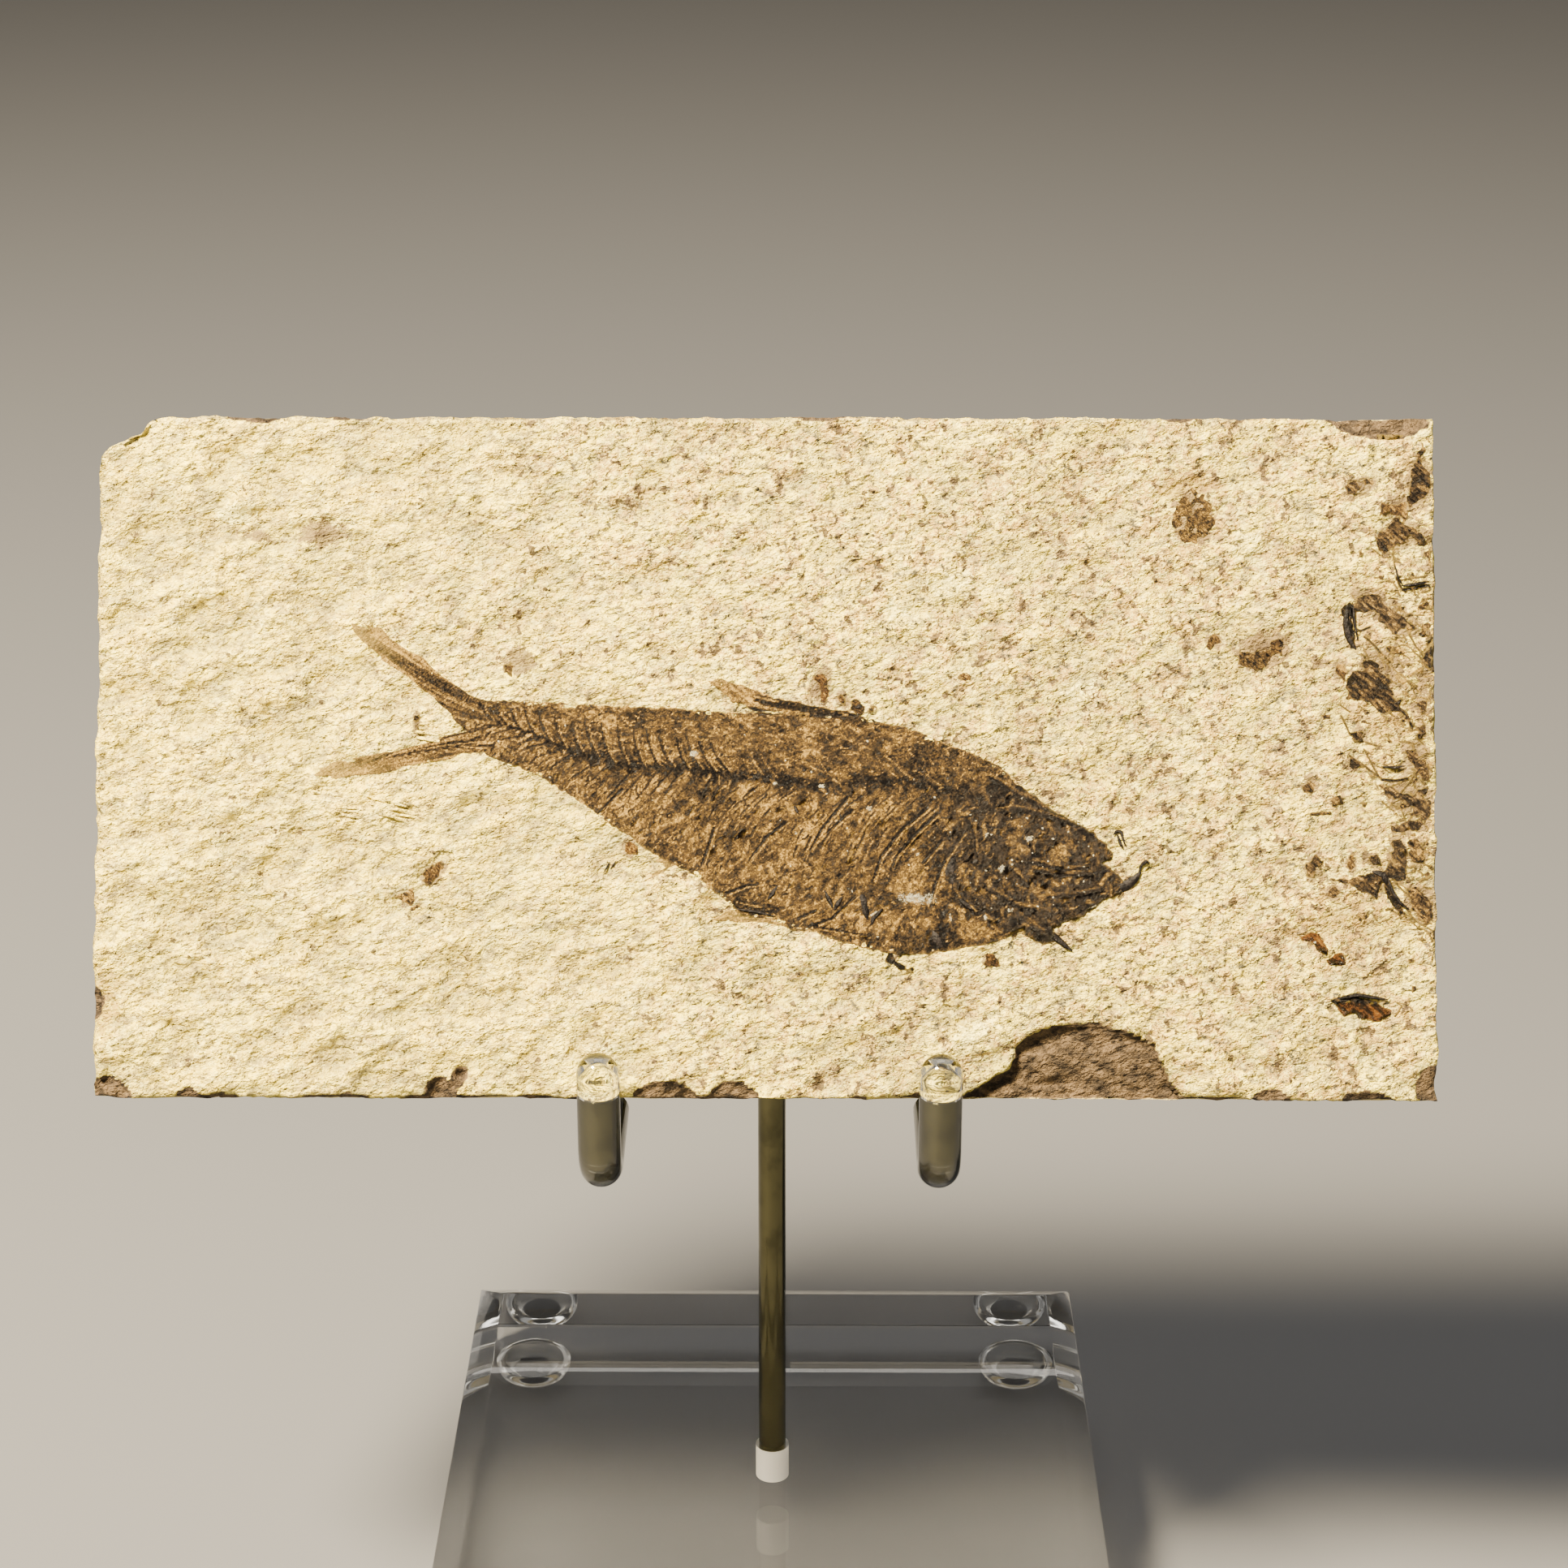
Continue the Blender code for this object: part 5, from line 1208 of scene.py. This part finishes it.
fossilColours = {
    "pale": (0.46, 0.29, 0.06), "gold": (0.192, 0.111, 0.021), "tan": (0.091, 0.052, 0.013),
    "brown": (0.039, 0.0235, 0.009), "dark": (0.015, 0.0108, 0.0068), "black": (0.0038, 0.0036, 0.0041),
    "edge": (0.5, 0.36, 0.075), "mineral": (0.58, 0.56, 0.42), "amber": (0.112, 0.037, 0.0075),
    "grey": (0.061, 0.052, 0.04), "skull": (0.0215, 0.0175, 0.015),
}
# Tones of the skin, from pale to black, where they stand on the scale of darkness.
fossilRamp = [(0.0, "pale"), (0.16, "gold"), (0.36, "tan"), (0.58, "brown"), (0.8, "dark"), (1.0, "black")]


def fossilMaterial(name, lean, fibrous):
    material, tree = startMaterial(name, Specular_IOR_Level=0.2)
    place = facePlace(tree)
    head, amber = attributeValue(tree, "head"), attributeValue(tree, "amber")
    fleck = place.noise(3.6, 4.0, 0.8, 0.4) - 0.5
    strand = place.slanted(lean, 0.75, 0.18).noise(1.0, 4.0, 0.65, 0.5) - 0.5
    # Thin winding cracks, where a noise passes through its middle value.
    crack = (place.noise(1.7, 3.0, 0.6, 0.8) - 0.5).reckon("ABSOLUTE").remap(0.0, 0.028, 1.0, 0.0)
    tone = attributeValue(tree, "dark") + fleck * 2.3 + strand * fibrous + crack * 0.28
    colour = addNode(tree, "ValToRGB", {"Fac": tone}, "Color")
    elements = colour.socket.node.color_ramp.elements
    for element, (position, shade) in zip(elements, (fossilRamp[0], fossilRamp[-1])):
        element.position, element.color = position, (*fossilColours[shade], 1)
    for position, shade in fossilRamp[1:-1]:
        elements.new(position).color = (*fossilColours[shade], 1)
    lighter = tone.remap(0.35, 0.95).blend(fossilColours["amber"], fossilColours["dark"])
    stony = tone.remap(0.2, 0.9).blend(fossilColours["grey"], fossilColours["dark"])
    bony = head * place.noise(1.1, 4.0, 0.7).remap(0.4, 0.62, 0.0, 0.75)
    # The skin thins out to the stone's own colour at its edges and at the tips of the fins.
    faded = attributeValue(tree, "fin") * strand.remap(-0.14, 0.1, 1.0, 0.45)
    thin = attributeValue(tree, "inside").remap(0.0, 0.12, 0.4, 0.0).reckon("MAXIMUM", faded)
    crusted = (attributeValue(tree, "pale") + fleck * 3.4).remap(0.7, 1.0)
    mineral = speckMask(place, 0.55, head * 0.05 + 0.01, 0.24, 0.6).reckon("MAXIMUM", crusted)
    for mask, shade in (
        (amber * 0.85, lighter), (attributeValue(tree, "grey") * 0.8, stony), (bony, fossilColours["skull"]),
        (thin, fossilColours["edge"]), (mineral * 0.85, fossilColours["mineral"]),
    ):
        colour = mask.blend(colour, shade)
    gloss = tone.remap(0.6, 1.0, 0.6, 0.28) - amber * 0.25
    height = fleck + strand * 0.8 - crack * 0.35
    return finishMaterial(material, (height, 1.0, 0.0007), Base_Color=colour, Roughness=gloss)


def darkBoneMaterial():
    material, tree = startMaterial("darkBone", Roughness=0.42, Specular_IOR_Level=0.12)
    place = facePlace(tree)
    tone = place.noise(1.9, 4.0, 0.65, 0.5).remap(0.42, 0.7)
    colour = tone.blend((0.0026, 0.0022, 0.0024), (0.016, 0.0132, 0.0128))
    return finishMaterial(material, (place.noise(3.5, 4.0, 0.6), 0.6, 0.0003), Base_Color=colour)


def addSliver(bm, line, width, height, rise):
    # A flattened bone lying along a line on the face, narrowed at both ends, its middle "rise" above the stone's skin.
    x, y = line[len(line) // 2]
    lift = float(stoneRise(np.array([x]), np.array([y]))[0]) + rise
    steps = max(5, 2 * len(line))
    rings = []
    for step in range(steps + 1):
        share = step / steps
        x, y = pointOnLine(line, share)
        aheadX, aheadY = pointOnLine(line, min(share + 0.04, 1))
        behindX, behindY = pointOnLine(line, max(share - 0.04, 0))
        along = Vector((aheadX - behindX, 0, aheadY - behindY))
        swell = 0.1 + 0.9 * math.sin(math.pi * (0.02 + 0.96 * share)) ** 0.85
        middle, deep = Vector((x, -lift, y)), Vector((0, 1, 0))
        rings.append(ringMatrix(middle, along, deep, 0.7 * height * swell, width * swell / 2))
    sweepRings(bm, rings, 6)


# Bones that stand clear of the skin: line, width, height.
clearBones = {
    "jaw": ([(33.6, 22.2), (35.4, 22.3), (37.1, 22.5), (38.7, 23.0), (39.6, 23.7), (40.2, 24.5)], 1.15, 0.36),
    "jaw tip": ([(40.0, 24.2), (40.3, 25.2), (40.9, 25.7), (41.1, 25.3)], 0.42, 0.35),
    "upper jaw": ([(33.4, 24.7), (35.4, 24.3), (37.0, 24.6)], 0.4, 0.26),
    "chin spine": ([(28.2, 18.3), (30.4, 17.9), (31.4, 17.2), (32.9, 16.0)], 0.8, 0.3),
    "gill blade": ([(20.9, 28.2), (20.1, 26.2), (19.9, 24.4), (20.5, 22.8), (21.6, 21.8)], 1.25, 0.36),
    "gill blade inner": ([(23.6, 26.6), (22.6, 25.6), (21.4, 24.4)], 0.6, 0.36),
    "gill blade low": ([(19.9, 22.4), (21.2, 21.2), (22.2, 20.5), (23.4, 20.1)], 0.6, 0.34),
    "cheek bar": ([(23.0, 24.2), (24.0, 23.2), (24.4, 21.8)], 0.5, 0.3),
    "snout curl": ([(37.3, 28.4), (37.7, 28.9), (38.2, 28.7), (38.4, 27.8), (38.7, 27.2)], 0.42, 0.35),
    "snout thorn": ([(37.7, 28.6), (38.0, 27.6), (38.3, 27.0)], 0.35, 0.25),
    "back lump": ([(9.6, 42.0), (10.2, 42.2), (10.7, 41.7)], 0.5, 0.28),
    "belly vee left": ([(6.4, 22.5), (6.9, 21.4), (7.4, 20.3)], 0.5, 0.28),
    "belly vee right": ([(7.4, 20.3), (7.8, 21.0), (8.3, 21.8)], 0.55, 0.28),
    "belly shard": ([(10.2, 22.4), (10.6, 21.2), (11.0, 19.2)], 0.95, 0.32),
    "belly shard tail": ([(12.6, 20.5), (11.6, 19.4), (10.9, 18.0)], 0.5, 0.3),
    "belly chip": ([(1.4, 22.9), (0.9, 22.2), (0.3, 21.4)], 0.5, 0.26),
    "belly dot": ([(3.1, 31.5), (3.6, 30.6)], 0.4, 0.2),
    "belly lump": ([(18.0, 18.1), (18.5, 17.2), (19.0, 16.4)], 1.1, 0.3),
    "edge needle": ([(-3.0, 20.4), (-0.8, 20.1), (1.2, 19.6)], 0.3, 0.16),
    "loose needle a": ([(-17.3, 24.2), (-16.9, 24.9), (-16.6, 25.4)], 0.2, 0.14),
    "loose needle b": ([(-16.6, 24.6), (-16.2, 25.2), (-15.9, 25.6)], 0.16, 0.12),
    "edge bone": ([(62.5, 53.2), (62.3, 51.4), (62.6, 49.6), (63.4, 48.4)], 0.8, 0.4),
    "edge bone glint": ([(63.1, 53.4), (63.2, 51.6), (63.6, 49.4)], 0.35, 0.42),
    "edge tail": ([(66.6, 24.0), (67.0, 22.6), (67.9, 21.2), (68.9, 20.5)], 0.45, 0.4),
    "edge joint": ([(65.0, 24.6), (66.2, 24.2), (66.6, 23.2)], 0.8, 0.35),
    "edge plate": ([(61.0, 10.9), (63.2, 11.4), (66.6, 10.9)], 0.5, 0.4),
    "edge hook": ([(67.5, 57.6), (67.8, 56.2), (68.4, 55.2)], 0.24, 0.2),
    "edge rod": ([(68.2, 55.2), (69.8, 55.4), (71.2, 55.7)], 0.4, 0.26),
    "edge strut": ([(66.0, 35.8), (67.4, 35.7), (68.6, 35.9)], 0.34, 0.26),
}


def makeClearBones(material):
    bm = bmesh.new()
    for line, width, height in clearBones.values():
        addSliver(bm, line, width, height, 0.12)
    finishPiece("clearBones", bm, [material], sharp=40, place=faceMatrix)


# Fine parallel ridges in the stone: start, degrees, length, count, gap.
ridges = [((-48.0, 32.9), -9, 5.6, 7, 0.42), ((-42.8, 32.6), -13, 6.4, 5, 0.46), ((-39.6, 40.6), -6, 6.0, 4, 0.55)]


def makeRidges(material):
    rng = random.Random(43)
    bm = bmesh.new()
    for (startX, startY), degrees, length, count, gap in ridges:
        for index in range(count):
            start = (startX + rng.uniform(-0.8, 0.8), startY - gap * index)
            turn, reach = degrees + rng.uniform(-3, 3), length * rng.uniform(0.6, 1.0)
            addSliver(bm, headingLine(start, turn, reach, rng.uniform(-0.03, 0.03)), 0.40, 0.13, -0.02)
    finishPiece("stoneRidges", bm, [material], place=faceMatrix)


# Stand
standSizes = {
    "blockSide": 76.2, "blockBottom": 3.0, "blockTop": 18.9, "easedWidth": 3.2, "easedDrop": 1.3,
    "holeRadius": 1.95, "holeDepth": 9.5, "rod": 1.5875, "sleeve": 2.3, "sleeveTip": 82.3, "postTop": 89.0,
    "span": 18.1, "legY": -25.0, "armZ": 67.46, "backY": 2.7, "legTop": 77.6, "sleeveBackY": -8.5,
    "footRadius": 4.75, "footInset": 7.2, "footTop": 2.7, "bend": 4.4, "braze": (2.5, 1.9, 2.0), "footFlat": 2.2,
}


def makeBlock(acrylic, bore):
    # From the bottom of the drilled hole up, out over the top, down over the eased edge and in again underneath.
    size = standSizes
    top, bottom, half = size["blockTop"], size["blockBottom"], size["blockSide"] / 2
    bm = bmesh.new()
    floor = Matrix.Translation((0, 0, top - size["holeDepth"]))
    ring = bmesh.ops.create_circle(bm, cap_ends=True, segments=64, radius=size["holeRadius"], matrix=floor)["verts"]
    ring = growRing(bm, ring)
    for vert in ring:
        vert.co.z = top
    bored = list(bm.faces)
    inner, shoulder = half - size["easedWidth"], top - size["easedDrop"]
    for reach, height in (
        (inner - 0.2, top), (inner - 0.05, top), (inner + 0.05, top - 0.02), (half - 0.15, shoulder + 0.06),
        (half, shoulder - 0.1), (half, bottom + 0.4), (half - 0.4, bottom), (half - 0.6, bottom),
    ):
        ring = growRing(bm, ring)
        for vert in ring:
            angle = math.atan2(vert.co.y, vert.co.x)
            across, along = math.cos(angle), math.sin(angle)
            spread = reach * (1 / max(abs(across), abs(along)))
            vert.co = (spread * across, spread * along, height)
    bmesh.ops.contextual_create(bm, geom=openEdges(ring))
    for face in bored:
        face.material_index = 1
    finishPiece("acrylicBlock", bm, [acrylic, bore], ["base_block"], sharp=28)


def quarterTurns(steps):
    # Height and width along a quarter circle, without its ends.
    turns = [math.pi / 2 * step / steps for step in range(1, steps)]
    return [(math.sin(turn), math.cos(turn)) for turn in turns]


def makeArmature(brass):
    size = standSizes
    rod, span, front, back, arm = size["rod"], size["span"], size["legY"], size["backY"], size["armZ"]
    bm = bmesh.new()
    foot = size["blockTop"] - size["holeDepth"] + 0.3
    levels = [(foot, rod - 0.2), (foot + 0.2, rod), (size["postTop"], rod)]
    levels += [(size["postTop"] + rod * high, rod * wide) for high, wide in quarterTurns(8)]
    sweepRings(bm, standingRings(levels))
    corners = [
        Vector((side * span, y, z)) for side, y, z in (
            (-1, front, size["legTop"]), (-1, front, arm), (-1, back, arm), (1, back, arm), (1, front, arm),
            (1, front, size["legTop"]),
        )
    ]
    points = bendPath(corners, size["bend"], 8)
    drop = upwards * 0.12
    points = [points[0], points[0] - drop, *points[1:-1], points[-1] - drop, points[-1]]
    sweepRings(bm, pathRings(points, [rod - 0.12] + [rod] * (len(points) - 2) + [rod - 0.12]))
    # The brazed joint where the cradle crosses the post.
    joint = Matrix.Translation((0, back / 2, arm)) @ Matrix.Diagonal((*size["braze"], 1))
    bmesh.ops.create_uvsphere(bm, u_segments=32, v_segments=16, radius=1, matrix=joint)
    finishPiece("brassArmature", bm, [brass], ["brass_armature"], sharp=35)


def makeSleeves(vinyl):
    size = standSizes
    outer, bore = size["sleeve"], size["rod"] - 0.02
    for name, side in (("left", -1), ("right", 1)):
        tip = Vector((side * size["span"], size["legY"], size["sleeveTip"]))
        shoulder = tip - upwards * outer
        corners = [shoulder, Vector((tip.x, tip.y, size["armZ"])), Vector((tip.x, size["sleeveBackY"], size["armZ"]))]
        path = bendPath(corners, size["bend"], 10)
        rings = [
            ringMatrix(shoulder + upwards * outer * high, -upwards, sideways, outer * wide)
            for wide, high in quarterTurns(10)
        ]
        rings += pathRings(path, [outer] * len(path))
        # The wall turns back on itself at the open end and runs up inside.
        inside = [Vector((tip.x, tip.y, size["legTop"] + 0.15)), *path[1:]]
        rings += pathRings(inside, [bore] * len(inside))[::-1]
        bm = bmesh.new()
        sweepRings(bm, rings)
        finishPiece(name + "Sleeve", bm, [vinyl], ["sleeve_" + name], sharp=60)


def makeFeet(rubber):
    size = standSizes
    top, radius, flat = size["footTop"], size["footRadius"], size["footFlat"]
    reach = size["blockSide"] / 2 - size["footInset"]
    levels = [(0.0, flat)]
    levels += [((top - 0.4) * (1 - low), flat + (radius - flat) * wide) for wide, low in quarterTurns(8)]
    levels += [(top - 0.4, radius), (top - 0.1, radius), (top, radius - 0.15)]
    for depthName, ySide in (("front", -1), ("back", 1)):
        for sideName, xSide in (("left", -1), ("right", 1)):
            bm = bmesh.new()
            sweepRings(bm, standingRings(levels, xSide * reach, ySide * reach))
            name = depthName + sideName.capitalize() + "Foot"
            finishPiece(name, bm, [rubber], ["foot_" + depthName + "_" + sideName], sharp=40)


def brassMaterial():
    material, tree = startMaterial("agedBrassDarkReflection", Metallic=1.0)
    place = addNode(tree, "TexCoord", {}, "Object")
    tarnish = place.noise(260, 5.0, 0.6).remap(0.4, 0.7)
    # Both base colours are painted dark, standing in for the dark surroundings the brass reflects; the mottled tarnish
    # between them is the metal's own.
    colour = tarnish.blend((0.088, 0.081, 0.042), (0.057, 0.053, 0.029))
    drawn = place.mapped(Scale=(2600, 2600, 30)).noise(1.0, 2.0)    # fine lines along the rod
    return finishMaterial(
        material, (drawn, 0.12, 0.0001), Base_Color=colour, Roughness=tarnish.remap(0, 1, 0.14, 0.24)
    )


def clearMaterial(name, colour, roughness, ior, clearness=1.0):
    return startMaterial(name, Base_Color=colour, Roughness=roughness, IOR=ior, Transmission_Weight=clearness)[0]


# Stage, light and camera. Each light: size and place in metres, power in watts, colour.
studio = {
    "lights": {
        "key": (0.22, (-0.35, -0.33, 0.82), 98.0, (1.0, 0.82, 0.54)),
        "fill": (0.8, (0.6, -0.7, 0.45), 2.5, (1.0, 0.92, 0.78)),
        "top": (0.5, (0.0, 0.35, 0.85), 3.0, (1.0, 0.94, 0.84)),
    },
    "aim": (0, -0.005, 0.1), "world": 0.36, "worldColour": (1.0, 0.97, 0.92), "floor": (0.091, 0.095, 0.105),
}
camera = {"lens": 77.24, "place": (3.3, -343.75, 238.3), "pitch": 21.464, "yaw": 0.319}


def makeStage():
    bm = bmesh.new()
    bmesh.ops.create_grid(bm, x_segments=1, y_segments=1, size=1.6, matrix=Matrix.Translation((0, 0.6, 0)))
    back = [edge for edge in bm.edges if all(vert.co.y > 2 for vert in edge.verts)]
    grown = bmesh.ops.extrude_edge_only(bm, edges=back)["geom"]
    bmesh.ops.translate(bm, verts=vertsOf(grown), vec=(0, 0, 2))
    bmesh.ops.bevel(bm, geom=back, offset=0.8, segments=16, profile=0.5, affect="EDGES", material=-1)
    bmesh.ops.recalc_face_normals(bm, faces=bm.faces)
    floor = addMesh("paleFloor", bm, [startMaterial("paleFloor", Base_Color=studio["floor"], Roughness=0.7)[0]])


def lightScene():
    for name, (size, place, power, colour) in studio["lights"].items():
        lamp = bpy.data.lights.new(name, "AREA")
        lamp.size, lamp.energy, lamp.color = size, power, colour
        light = addObject(name, lamp)
        light.location = place
        light.rotation_euler = (Vector(studio["aim"]) - Vector(place)).to_track_quat("-Z", "Y").to_euler()
    world = bpy.data.worlds.new("studio")
    world.use_nodes = True
    background = world.node_tree.nodes["Background"].inputs
    background["Color"].default_value = (*studio["worldColour"], 1)
    background["Strength"].default_value = studio["world"]
    bpy.context.scene.world = world


def placeCamera():
    data = bpy.data.cameras.new("camera")
    data.lens, data.sensor_width, data.clip_start = camera["lens"], 36, 0.01
    eye = addObject("camera", data)
    eye.location = Vector(camera["place"]) * mm
    eye.rotation_euler = (math.radians(90 - camera["pitch"]), 0, math.radians(camera["yaw"]))
    bpy.context.scene.camera = eye


limestone = limestoneMaterial()
makeSlab(limestone)
makeRidges(limestone)
makeFish(fossilMaterial("fossilSkin", -0.5, 0.5))
makeScraps(fossilMaterial("fossilScraps", 0.7, 1.8))
makeClearBones(darkBoneMaterial())
acrylic = clearMaterial("clearAcrylic", (1, 1, 1), 0.0, 1.49)
makeBlock(acrylic, clearMaterial("drilledBore", (0.9, 0.9, 0.88), 0.6, 1.49, 0.45))
makeArmature(brassMaterial())
makeSleeves(clearMaterial("clearVinyl", (0.97, 0.98, 0.95), 0.03, 1.52))
makeFeet(clearMaterial("clearBumper", (0.97, 0.98, 0.97), 0.08, 1.46))
makeStage()
lightScene()
placeCamera()
print("stage, lights and camera set")
